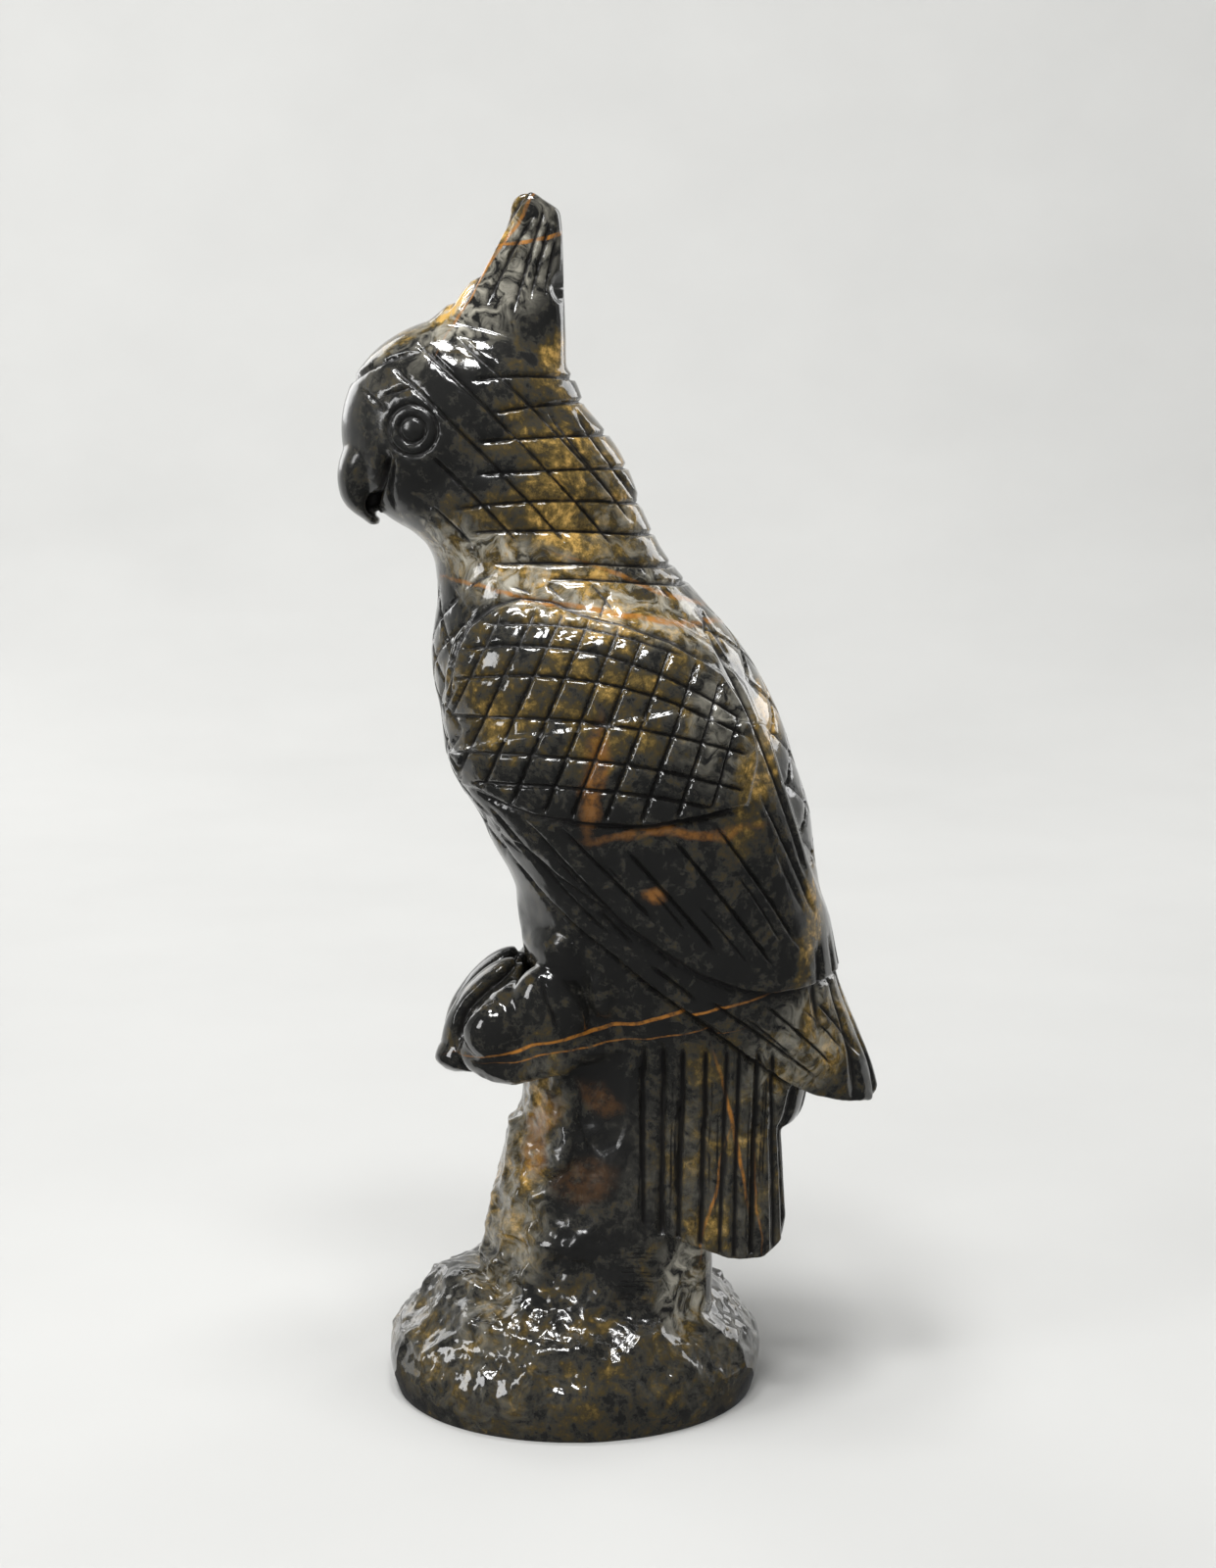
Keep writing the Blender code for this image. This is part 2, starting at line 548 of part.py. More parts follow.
def grooves(points, normals, side):
    """Every wheel cut: neck, crown, crest, wings, tail, breast, back, eyes, beak and toes."""
    width, depth = GROOVE_WIDTH / UNIT, GROOVE_DEPTH / UNIT
    x, y, z = points.T
    front = points[:, 1:]
    cuts = side_cuts(side, width, depth)
    hatched = smooth_step(inside_outline(side, COVERTS), 0.2, 1.4)
    cuts.append(hatched * wheel_cuts(side, covert_cuts(), width, depth))
    from_eye = np.hypot(side[:, 0] - EYE[0], side[:, 1] - EYE[1])
    for radius in EYE_RINGS:
        cuts.append(0.8 * depth * np.clip(1 - 2 * np.abs(from_eye - radius) / (0.8 * width), 0, None))
    breast = smooth_step(-normals[:, 0], *FRONT_FACING) * between(z, BREAST_HEIGHTS)
    cuts.append(breast * lattice(front, BREAST_LATTICE, width, 0.9 * depth))
    off_wing = 1 - smooth_step(inside_outline(side, WING), -2, -0.5)
    mantle = off_wing * smooth_step(normals[:, 0], *BACK_FACING) * between(z, MANTLE_HEIGHTS)
    cuts.append(mantle * lattice(front, MANTLE_LATTICE, width, depth))
    parting = smooth_step(-normals[:, 0], 0.2, 0.5) * smooth_step(z, *PARTING_ABOVE)
    low_back = smooth_step(normals[:, 0], *FLANK_FACING) * (1 - smooth_step(z, *ABOVE_WING_TIPS))
    wing_tips = low_back * smooth_step(x, *WING_TIPS_BEHIND)
    middle = np.clip(1 - 2 * np.abs(y) / (1.3 * width), 0, None)
    cuts.append(np.maximum(parting, 1.5 * wing_tips) * depth * middle)
    on_tail = smooth_step(inside_outline(side, TAIL), -0.5, 0.5)
    tail_flank = on_tail * smooth_step(np.abs(normals[:, 1]), *FLANK_FACING)
    cuts.append(tail_flank * wheel_cuts(side, flutes(), 1.3 * width, 1.1 * depth))
    spacing = np.abs(y / TAIL_BACK_PITCH - np.round(y / TAIL_BACK_PITCH)) * TAIL_BACK_PITCH
    tail_back = smooth_step(normals[:, 0], 0.4, 0.7) * between(z, TAIL_BACK_HEIGHTS)
    tail_back *= smooth_step(x, *TAIL_BACK_BEHIND)
    cuts.append(tail_back * depth * np.clip(1 - 2 * spacing / (1.3 * width), 0, None))
    from_chip = np.linalg.norm(points - np.array(CHIP), axis=1)
    cuts.append(CHIP_DEPTH * np.clip(1 - (from_chip / CHIP_RADIUS) ** 2, 0, None))
    return np.max(cuts, axis=0)


def carve(mesh):
    """Raises the layers, chisels the rock and cuts the grooves into the fused forms."""
    count = len(mesh.vertices)
    places = np.empty(count * 3, np.float32)
    mesh.vertices.foreach_get("co", places)
    normals = np.empty(count * 3, np.float32)
    mesh.vertex_normals.foreach_get("vector", normals)
    points = places.reshape(-1, 3).astype(float) / UNIT
    normals = normals.reshape(-1, 3).astype(float)
    side = points[:, [0, 2]]
    push = layers(side) + rock(points, side) - grooves(points, normals, side)
    places = (points + normals * push[:, None]) * UNIT
    mesh.vertices.foreach_set("co", places.astype(np.float32).ravel())
    mesh.update()


def thinned(mesh, collection):
    """The carved mesh with few enough triangles, more of them round the eyes."""
    fine = new_object("fine", mesh, collection)
    group = fine.vertex_groups.new(name="eyes")
    reach = EYE_RINGS[-1] + GROOVE_WIDTH / UNIT
    near = [
        v.index for v in mesh.vertices
        if math.hypot(v.co.x / UNIT - EYE[0], v.co.z / UNIT - EYE[1]) < reach and abs(v.co.y / UNIT) > 8
    ]
    group.add(near, 1.0, "REPLACE")
    first = fine.modifiers.new("thin evenly", "DECIMATE")
    first.ratio = FIRST_PASS * TRIANGLES / (2 * len(mesh.polygons))
    second = fine.modifiers.new("thin round the eyes", "DECIMATE")
    second.vertex_group = group.name
    second.invert_vertex_group = True
    second.ratio = 1 / FIRST_PASS
    result = evaluated_mesh(fine)
    bpy.data.objects.remove(fine)
    return result


def flat_underside(mesh):
    """Cuts the plinth level at z = 0 and closes it."""
    form = bmesh.new()
    form.from_mesh(mesh)
    everything = form.verts[:] + form.edges[:] + form.faces[:]
    cut = bmesh.ops.bisect_plane(
        form, geom=everything, plane_co=(0, 0, 0), plane_no=(0, 0, 1), clear_inner=True, dist=1e-6
    )
    rim = [edge for edge in cut["geom_cut"] if isinstance(edge, bmesh.types.BMEdge)]
    bmesh.ops.holes_fill(form, edges=rim)
    bmesh.ops.triangulate(form, faces=form.faces[:])
    bmesh.ops.recalc_face_normals(form, faces=form.faces)
    form.to_mesh(mesh)
    form.free()


def jasper():
    """Polished dark jasper."""
    stone = bpy.data.materials.new("jasper")
    stone.use_nodes = True
    shader = stone.node_tree.nodes["Principled BSDF"]
    shader.inputs["Base Color"].default_value = STONE_COLOUR
    shader.inputs["Roughness"].default_value = STONE_ROUGHNESS
    shader.inputs["Metallic"].default_value = 0.0
    return stone


def main():
    clear_scene()
    collection = bpy.data.collections.new("jasper parrot carving")
    bpy.context.scene.collection.children.link(collection)
    mesh = fuse(forms(collection), collection)
    carve(mesh)
    mesh = thinned(mesh, collection)
    flat_underside(mesh)
    mesh.shade_smooth()
    mesh.set_sharp_from_angle(angle=math.radians(40))
    mesh.materials.append(jasper())
    new_object("parrot_carving", mesh, collection)


main()
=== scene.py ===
"""A jasper parrot with a raised crest on a rocky stump: the carved stone, its polish and a plain studio.

Lengths in the tables are 250ths of the carving's height, which are millimetres at its real size.
Forms are drawn in the side view (x, z) or the front view (y, z). The bird looks towards -X.
"""

import logging
import math
from collections.abc import Callable
from dataclasses import dataclass
from enum import Enum
from functools import partial

import bmesh
import bpy
import numpy as np
from mathutils import Matrix, Vector


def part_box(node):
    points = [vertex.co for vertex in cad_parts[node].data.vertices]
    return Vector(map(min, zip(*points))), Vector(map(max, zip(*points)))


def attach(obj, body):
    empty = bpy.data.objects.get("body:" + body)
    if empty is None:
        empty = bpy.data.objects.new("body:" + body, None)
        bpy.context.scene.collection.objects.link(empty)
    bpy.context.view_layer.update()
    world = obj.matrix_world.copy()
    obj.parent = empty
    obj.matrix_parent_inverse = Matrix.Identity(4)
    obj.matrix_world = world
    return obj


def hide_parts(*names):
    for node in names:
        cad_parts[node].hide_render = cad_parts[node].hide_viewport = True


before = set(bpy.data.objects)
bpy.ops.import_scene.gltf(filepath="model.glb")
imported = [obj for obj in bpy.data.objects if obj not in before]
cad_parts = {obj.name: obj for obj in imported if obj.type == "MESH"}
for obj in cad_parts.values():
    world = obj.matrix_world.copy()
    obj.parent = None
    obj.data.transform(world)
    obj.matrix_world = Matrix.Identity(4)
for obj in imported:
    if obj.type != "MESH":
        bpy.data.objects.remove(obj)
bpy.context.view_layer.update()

LOG = logging.getLogger("jasper parrot")
NODE = "parrot_carving"
CREST_TIP = 250.2
UNIT = (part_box(NODE)[1].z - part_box(NODE)[0].z) / CREST_TIP
SEED = 7
MM_IN_METRE = 1000.0
SLAB_REACH = 60.0

Socket = bpy.types.NodeSocket
NodeAdder = Callable[..., Socket]
Group = tuple[bpy.types.NodeTree, dict[str, str]]
Section = tuple[float, float, float, float]
Point2 = tuple[float, float]
Bow = tuple[float, float, float, float, float]
Ball = tuple[tuple[float, float, float], tuple[float, float, float], float]


class View(Enum):
    """The two flat views in which forms and cuts are drawn, as the axes that each keeps."""

    SIDE = (0, 2)
    FRONT = (1, 2)

    @property
    def mask(self) -> tuple[float, float, float]:
        """1 along the axes that the view keeps and 0 along the one that it looks down."""
        return tuple(1.0 if axis in self.value else 0.0 for axis in range(3))


class Mineral(Enum):
    """What a cloud or a sheet of mineral does to the stone's colour."""

    OCHRE = "from charcoal through olive and ochre to honey"
    GREY = "pale translucent grey"
    RUST = "iron orange"
    SATIN = "no colour, but a duller polish"


def smooth_through(knots_x: np.ndarray, knots_y: np.ndarray, at: np.ndarray) -> np.ndarray:
    """Monotone cubic through the knots.

    Args:
        knots_x: Places of the knots, rising.
        knots_y: Value at each knot.
        at: Places to read.

    Returns:
        The curve's value at each place.
    """
    x, y = np.asarray(knots_x, float), np.asarray(knots_y, float)
    step = np.diff(x)
    slope = np.diff(y) / step
    tangent = np.zeros_like(y)
    same_way = slope[:-1] * slope[1:] > 0
    weight = (step[1:] + 2 * step[:-1], 2 * step[1:] + step[:-1])
    with np.errstate(divide="ignore", invalid="ignore"):
        mean = (weight[0] + weight[1]) / (weight[0] / slope[:-1] + weight[1] / slope[1:])
    tangent[1:-1] = np.where(same_way, mean, 0)
    tangent[0], tangent[-1] = slope[0], slope[-1]
    i = np.clip(np.searchsorted(x, at) - 1, 0, len(step) - 1)
    t = (at - x[i]) / step[i]
    return (
        y[i] * (1 + 2 * t) * (1 - t) ** 2
        + tangent[i] * step[i] * t * (1 - t) ** 2
        + y[i + 1] * t * t * (3 - 2 * t)
        + tangent[i + 1] * step[i] * t * t * (t - 1)
    )


def smooth_step(value: np.ndarray, low: float, high: float) -> np.ndarray:
    """0 below low, 1 above high, and a smooth ramp between them."""
    t = np.clip((value - low) / (high - low), 0, 1)
    return t * t * (3 - 2 * t)


def path_distance(view: np.ndarray, path: np.ndarray) -> np.ndarray:
    """Distance of each point of a flat view to an open path."""
    nearest = np.full(len(view), np.inf)
    for start, end in zip(path[:-1], path[1:]):
        start, step = np.array(start), np.subtract(end, start)
        share = np.clip((view - start) @ step / (step @ step), 0, 1)
        nearest = np.minimum(nearest, np.hypot(*(view - start - share[:, None] * step).T))
    return nearest


def inside_outline(view: np.ndarray, outline: tuple[Point2, ...]) -> np.ndarray:
    """Distance of each point of a flat view to a closed outline, positive inside it."""
    gap = path_distance(view, (*outline, outline[0]))
    inside = np.zeros(len(view), bool)
    for (x0, z0), (x1, z1) in zip(outline, (*outline[1:], outline[0])):
        spans = (z0 > view[:, 1]) != (z1 > view[:, 1])
        with np.errstate(divide="ignore", invalid="ignore"):
            crossing = x0 + (view[:, 1] - z0) * (x1 - x0) / (z1 - z0)
        inside ^= spans & (view[:, 0] < crossing)
    return np.where(inside, gap, -gap)


def bow(first_x: float, first_z: float, last_x: float, last_z: float, rise: float = 0) -> np.ndarray:
    """A shallow arc between two points of a flat view, as a path."""
    share = np.linspace(0, 1, 7)
    lift = 4 * rise * share * (1 - share)
    x, z = first_x + share * (last_x - first_x), first_z + share * (last_z - first_z)
    return np.stack([x, z + lift], axis=1)


def bows(lines: tuple[Bow, ...]) -> list[np.ndarray]:
    """The paths of a table of arcs."""
    return [bow(*line) for line in lines]


def ring(centre: Point2, radius: float, pieces: int = 48) -> np.ndarray:
    """A circle in a flat view, as a closed path."""
    turn = np.linspace(0, 2 * math.pi, pieces + 1)
    return np.stack([centre[0] + radius * np.cos(turn), centre[1] + radius * np.sin(turn)], axis=1)


def scooped(points: np.ndarray, cell: float, depth: float, seed: int) -> np.ndarray:
    """Chisel scoops: shallow hollows round scattered points, with ridges where they meet.

    Args:
        points: Points of the stone's surface.
        cell: Size of a scoop.
        depth: Height of the ridges over the hollows.
        seed: Which scatter to draw.

    Returns:
        How far each point stands out.
    """
    rng = np.random.default_rng(seed)
    low, high = points.min(axis=0) - cell, points.max(axis=0) + cell
    count = (np.ceil((high - low) / cell)).astype(int)
    grid = np.stack(np.meshgrid(*(np.arange(n) for n in count), indexing="ij"), axis=-1).reshape(-1, 3)
    centres = low + (grid + rng.uniform(0.1, 0.9, grid.shape)) * cell
    nearest = np.full(len(points), np.inf)
    for centre in centres:
        near = np.all(np.abs(points - centre) < 1.3 * cell, axis=1)
        nearest[near] = np.minimum(nearest[near], np.sum((points[near] - centre) ** 2, axis=1))
    return depth * (np.clip(nearest / cell**2, 0, 1.2) - 0.45)


def evaluated_mesh(obj: bpy.types.Object) -> bpy.types.Mesh:
    """A new mesh of the object with its modifiers applied."""
    bpy.context.view_layer.update()
    return bpy.data.meshes.new_from_object(obj.evaluated_get(bpy.context.evaluated_depsgraph_get()))


def place_in_scene(name: str, mesh: bpy.types.Mesh) -> bpy.types.Object:
    """A new object of the mesh, at the origin."""
    obj = bpy.data.objects.new(name, mesh)
    bpy.context.scene.collection.objects.link(obj)
    return obj


def give(tree: bpy.types.NodeTree, node: bpy.types.Node, inputs: dict) -> None:
    """Sets a node's inputs, by name or number, to another node's output or a plain value."""
    for key, value in inputs.items():
        if isinstance(value, Socket):
            tree.links.new(value, node.inputs[key])
        else:
            node.inputs[key].default_value = value


def add_node(
    tree: bpy.types.NodeTree, kind: str, inputs: dict | None = None, out: int | str = 0, **settings
) -> Socket | None:
    """Adds a node to a tree.

    Args:
        tree: The tree that takes the node.
        kind: The node's type.
        inputs: What each input is given.
        out: Which output is wanted, by name or number.
        settings: The node's own properties.

    Returns:
        The output, or None where the node has no outputs.
    """
    node = tree.nodes.new(kind)
    for name, value in settings.items():
        setattr(node, name, value)
    give(tree, node, inputs or {})
    return node.outputs[out] if node.outputs else None


def linear(hex_colour: str) -> tuple[float, float, float, float]:
    """An sRGB colour such as "#3d3422" as linear red, green, blue and alpha."""
    channels = (int(hex_colour[i : i + 2], 16) / 255 for i in (1, 3, 5))
    return (*(c / 12.92 if c <= 0.04045 else ((c + 0.055) / 1.055) ** 2.4 for c in channels), 1.0)


def loft(
    name: str, sections: tuple[Section, ...], squareness: float = 2.2, levels: int = 160, around: int = 120
) -> bpy.types.Object:
    """A closed body through horizontal super-ellipse sections.

    Args:
        name: The new object's name.
        sections: Height, front, back and half width of each section.
        squareness: Power of the super-ellipse, 2 for an ellipse.
        levels: Rings in the body.
        around: Points in each ring.

    Returns:
        The new object.
    """
    table = np.array(sections, float)[np.argsort([s[0] for s in sections])]
    height = np.linspace(table[0, 0], table[-1, 0], levels)
    front, back, half = (smooth_through(table[:, 0], table[:, k], height) for k in (1, 2, 3))
    turn = np.linspace(0, 2 * math.pi, around, endpoint=False)
    power = 2 / squareness
    across = np.sign(np.cos(turn)) * np.abs(np.cos(turn)) ** power
    aside = np.sign(np.sin(turn)) * np.abs(np.sin(turn)) ** power
    x = ((front + back) / 2)[:, None] + ((back - front) / 2)[:, None] * across
    points = np.stack([x, half[:, None] * aside, np.repeat(height[:, None], around, axis=1)], axis=-1)
    faces = [
        (r * around + c, r * around + d, (r + 1) * around + d, (r + 1) * around + c)
        for r in range(levels - 1)
        for c, d in zip(range(around), (*range(1, around), 0))
    ]
    faces.append(tuple(reversed(range(around))))
    faces.append(tuple(range((levels - 1) * around, levels * around)))
    mesh = bpy.data.meshes.new(name)
    mesh.from_pydata((points.reshape(-1, 3) * UNIT).tolist(), [], faces)
    mesh.validate()
    return place_in_scene(name, mesh)


def ball(name: str, shape: Ball, side: int = 1, segments: int = 96) -> bpy.types.Object:
    """An ellipsoid, leaning in the side view, on one side of the bird.

    Args:
        name: The new object's name.
        shape: Its centre, radii and lean in degrees.
        side: -1 for the bird's left flank, 1 for its right.
        segments: Faces round it.

    Returns:
        The new object.
    """
    (x, y, z), radii, lean = shape
    form = bmesh.new()
    bmesh.ops.create_uvsphere(form, u_segments=segments, v_segments=segments // 2, radius=1)
    place = (
        Matrix.Translation(Vector((x, y * side, z)) * UNIT)
        @ Matrix.Rotation(math.radians(lean), 4, "Y")
        @ Matrix.Diagonal((*(r * UNIT for r in radii), 1))
    )
    form.transform(place)
    mesh = bpy.data.meshes.new(name)
    form.to_mesh(mesh)
    form.free()
    return place_in_scene(name, mesh)


def pair(name: str, shape: Ball) -> list[bpy.types.Object]:
    """The same ellipsoid on both sides of the bird."""
    return [ball(f"{name}_{side}", shape, side) for side in (-1, 1)]


def shaped_slab(
    name: str, outline: tuple[Point2, ...], envelope: tuple[Section, ...], squareness: float
) -> bpy.types.Object:
    """A side-view outline cut out of the whole width and rounded by an envelope of sections.

    Args:
        name: The new object's name.
        outline: Corners of the outline in the side view.
        envelope: Sections of the body that rounds it.
        squareness: Power of the envelope's super-ellipse.

    Returns:
        The new object.
    """
    reach = SLAB_REACH * UNIT
    form = bmesh.new()
    face = form.faces.new([form.verts.new((x * UNIT, -reach, z * UNIT)) for x, z in outline])
    pushed = bmesh.ops.extrude_face_region(form, geom=[face])
    moved = [v for v in pushed["geom"] if isinstance(v, bmesh.types.BMVert)]
    bmesh.ops.translate(form, verts=moved, vec=(0, 2 * reach, 0))
    bmesh.ops.recalc_face_normals(form, faces=form.faces)
    mesh = bpy.data.meshes.new(name)
    form.to_mesh(mesh)
    form.free()
    slab = place_in_scene(name, mesh)
    skin = loft(name + "_envelope", envelope, squareness)
    cut = slab.modifiers.new("shape", "BOOLEAN")
    cut.operation = "INTERSECT"
    cut.object = skin
    slab.data = evaluated_mesh(slab)
    slab.modifiers.clear()
    bpy.data.objects.remove(skin)
    return slab


@dataclass
class Cuts:
    """A family of wheel cuts of one width and depth, drawn in one flat view."""

    name: str
    view: View
    paths: list[np.ndarray | tuple[Point2, ...]]
    width: float
    depth: float
    taper: float = 3.5
    stencil: str = "everywhere"
    within: tuple[Point2, ...] | None = None
    closed: bool = False

    def guide(self) -> bpy.types.Object:
        """The path of the wheel's edge: it lies in the view's plane and lifts off it where a cut runs out.

        Returns:
            A mesh of edges only, which the tree of the cuts measures from.
        """
        points, edges = [], []
        for path in self.paths:
            path = np.asarray(path, float)
            run = np.concatenate([[0], np.cumsum(np.hypot(*np.diff(path, axis=0).T))])
            along = np.linspace(0, run[-1], max(8, int(run[-1])))
            flat = np.stack([np.interp(along, run, path[:, k]) for k in (0, 1)], axis=1)
            biting = np.ones(len(along))
            if not self.closed:
                biting = np.clip(np.minimum(along, run[-1] - along) / self.taper, 0, 1)
            if self.within is not None:
                biting = np.minimum(biting, smooth_step(inside_outline(flat, self.within), 0.2, 1.6))
            lifted = np.zeros((len(along), 3))
            lifted[:, list(self.view.value)] = flat
            lifted[:, ({0, 1, 2} - set(self.view.value)).pop()] = self.width / 2 * (1 - biting)
            edges += [(len(points) + k, len(points) + k + 1) for k in range(len(along) - 1)]
            points += (lifted * UNIT).tolist()
        mesh = bpy.data.meshes.new(self.name)
        mesh.from_pydata(points, edges, [])
        guide = place_in_scene(self.name, mesh)
        guide.hide_render = True
        return guide


@dataclass
class Bird:
    """The bird: body, head, beak, crest, folded wings and tail, with the cuts that feather them."""

    torso: tuple[Section, ...] = (
        (216, -30, -4, 8), (212, -32, -1.0, 12), (207, -36, 3.6, 15.5), (203, -38, 6.8, 17.6),
        (198, -38.2, 10.2, 18.4), (192, -37.4, 12.8, 18.6), (187.2, -36.8, 14.4, 18.2),
        (184.6, -34.6, 15.6, 18.0), (180, -29.6, 17.8, 18.4), (176, -28.1, 20.6, 19.6),
        (170, -27.7, 25.8, 22.6), (165, -28.4, 30.2, 25.4), (158.6, -29.1, 35.4, 28.4),
        (152, -28.5, 39.4, 30.2), (146, -27.3, 42.3, 31.0), (140, -26.8, 44.5, 31.2),
        (135.5, -25.6, 45.8, 31.0), (131, -23.5, 47.4, 30.4), (125, -19.6, 49.2, 29.2),
        (119, -17.0, 49.9, 27.8), (112.5, -13.4, 50.9, 26.0), (108.5, -12.0, 51.5, 25.0),
        (103.9, -11.8, 52.3, 24.0), (98, -10.6, 53.0, 22.6), (92, -8.0, 52.6, 21.2),
        (84, -3.0, 51.8, 19.4), (76, 4.0, 51.4, 18.0), (71, 8.0, 50.8, 17.4), (67, 10.2, 49.8, 17.0),
        (62, 12.4, 48.8, 16.4), (59.4, 13.4, 47.4, 15.8),
    )
    wing_envelope: tuple[Section, ...] = (
        (176, -20, 14, 14), (170, -27.4, 24.8, 22.0), (167, -27.8, 27.6, 25.4), (165, -28.2, 29.6, 27.3),
        (162, -28.5, 32.6, 29.6), (158.6, -28.9, 35.0, 31.2), (152, -28.3, 39.0, 32.8),
        (146, -27.2, 42.0, 33.4), (140, -26.8, 44.2, 33.8), (131, -23.5, 47.0, 33.2),
        (125, -19.6, 49.0, 32.4), (112.5, -13.4, 50.8, 29.6), (98, -10.6, 53.6, 26.4),
        (90, -9.0, 55.4, 24.4), (80, -6.0, 59.4, 21.4), (70, -4.0, 63.4, 17.6), (62, -3.0, 65.0, 14.4),
        (54, -2.0, 65.0, 11.6),
    )
    tail_envelope: tuple[Section, ...] = (
        (94, 10, 44, 10.0), (84, 10, 46, 13.6), (74, 9, 46, 15.2), (54, 8, 46, 16.2), (40, 8, 46, 17.6),
        (28, 8, 46, 18.6),
    )
    beak: tuple[Section, ...] = (
        (206, -41.0, -33.0, 8.4), (202, -45.2, -35.0, 10.0), (197.4, -47.4, -36.6, 10.2),
        (194.1, -47.9, -38.0, 9.4), (190.7, -47.5, -39.4, 8.2), (188.4, -46.4, -39.9, 6.8),
        (186.8, -44.7, -39.9, 5.4), (185.5, -42.9, -39.4, 3.9), (184.2, -41.4, -39.6, 2.2),
    )
    mouth_core: tuple[Section, ...] = (
        (201, -42, -34, 8.4), (194, -42, -34, 7.2), (188.4, -41.4, -34.6, 5.6), (186.8, -41.0, -37.4, 4.2),
    )
    crest: tuple[Section, ...] = (
        (250.4, -9.4, -7.6, 3.2), (249, -11.8, -5.6, 3.7), (246.6, -12.6, -2.4, 4.2),
        (243.4, -14.1, -2.0, 4.5), (240, -15.6, -1.9, 4.9), (235.8, -17.9, -1.8, 5.5),
        (232.8, -20.5, -1.7, 6.1), (229.8, -23.4, -1.6, 6.8), (226.8, -26.9, -1.5, 7.6),
        (222, -32.0, -1.3, 8.8), (214, -34.0, -1.2, 10.6), (208, -30.0, -2.0, 11.4),
    )
    head: Ball = ((-22.0, 0.0, 203.5), (25.0, 18.6, 22.6), 0)
    wing: tuple[Point2, ...] = (
        (-25.6, 148), (-25.2, 156), (-23.4, 163), (-19, 168.5), (-11, 173), (0, 173), (10, 170),
        (20, 166.5), (28, 161.5), (34.5, 153.5), (38.5, 144), (41.5, 134), (45, 123), (49.5, 110),
        (55, 98), (56.5, 88), (60.4, 77.5), (63.6, 69.5), (64.2, 66.4), (62.6, 64.2), (56.0, 65.4),
        (49.6, 67.6), (44.4, 70.3), (37.9, 75.3), (31.4, 80.8), (25.1, 85.7), (18.9, 90.5), (14.0, 94.5),
        (9.1, 99.0), (4.2, 102.7), (-2.6, 108.5), (-7.0, 112.8), (-12.5, 119.5), (-18, 128.5),
        (-22.6, 138.5),
    )
    tail: tuple[Point2, ...] = (
        (11.6, 92), (12.0, 73), (12.0, 60), (11.8, 49), (12.8, 43.0), (16.4, 39.0), (19.9, 37.6),
        (26.4, 35.6), (32.6, 33.3), (39.5, 32.8), (43.8, 35.6), (44.6, 40), (44.0, 48), (43.4, 58),
        (42, 73), (40, 92),
    )
    coverts: tuple[Point2, ...] = (
        (-24.8, 136.5), (-25.2, 149), (-23.6, 158), (-20, 165.5), (-13, 169.5), (-2, 169.5), (10, 166.8),
        (21, 162.3), (29.5, 156.5), (34.6, 148.5), (35.8, 139.5), (34.0, 131.2), (25, 129.6), (15, 127.8),
        (3, 128.4), (-7, 129.6), (-14, 131.8), (-20, 134.4),
    )
    secondaries: tuple[Point2, ...] = (
        (-26, 140), (-12, 145), (20, 150), (38, 146), (44, 130), (50, 112), (58, 100), (58, 92.6),
        (52.6, 92.1), (47, 91), (40.6, 90.8), (34.3, 92.0), (24.9, 95.9), (13.9, 103.8), (6.6, 109.5),
        (-3.1, 115.9), (-11.7, 123.4), (-20, 131),
    )
    neck_rings: tuple[Bow, ...] = (
        (-19.8, 213.5, 4, 213.4, 1.0), (-16.6, 206.9, 10, 209.6, 0.6), (-19.3, 201.3, 14, 202.8, 0.6),
        (-19.4, 195.1, 18, 195.9, 0.6), (-24.2, 188.0, 20, 188.0, 2.0), (-21.8, 183.4, 22, 181.9, 1.4),
        (-16.9, 177.5, 26, 175.6, 1.2), (-5.9, 175.0, 30, 171.8, 0.8),
    )
    neck_slants: tuple[Bow, ...] = (
        (-28.4, 189.3, -19.1, 180.1, 0), (-28.6, 199.6, -9.8, 180.8, 0.4), (-35.9, 216.7, -0.5, 181.1, 1.0),
        (-31.1, 221.5, 9.3, 180.1, 1.6), (-22.8, 222.0, 10.4, 188.5, 1.6), (-4.9, 207.6, 12.6, 185.1, 0.4),
        (0.5, 207.5, 15.0, 187.0, 0),
    )
    crown: tuple[Bow, ...] = (
        (-46.0, 212.4, -29.2, 218.8, 1.4), (-38.6, 209.7, -30.1, 212.4, 0.3), (-42.6, 212.6, -36.3, 207.1, 0),
    )
    collar: tuple[Bow, ...] = (
        (-5.6, 174.6, -1.4, 170.6, 0), (3.4, 174.4, 8.8, 168.2, 0.2), (7.6, 172.8, 4.6, 165.6, 0),
        (-12.6, 173.4, -7.4, 171.6, 0.3), (17.0, 173.4, 20.4, 170.2, 0), (12.8, 178.4, 15.8, 174.6, 0),
        (-21.6, 171.8, -14.6, 175.6, 0.8), (24.4, 168.4, 31.6, 158.6, 0.6),
    )
    shoulder: tuple[Point2, ...] = (
        (-24.6, 148.0), (-24.2, 155.6), (-22.9, 161.6), (-20.4, 166.0), (-15.2, 169.8), (-10, 171.2),
        (-4, 170.6), (3.3, 168.1), (10.4, 166.6), (19.4, 163.4), (27.4, 158.6),
    )
    flight: tuple[Bow, ...] = (
        (-16.5, 130.5, 9.0, 103.0, -1.5), (-9.6, 128.5, 12.6, 104.6, -0.4), (-3.0, 128.0, 17.6, 106.4, 0),
        (9.0, 124.6, 30.2, 99.2, 0.4), (18.6, 126.5, 41.8, 95.6, 0.8), (27.0, 129.3, 46.6, 99.6, 1.2),
        (36.9, 133.8, 49.4, 106.0, 1.2),
    )
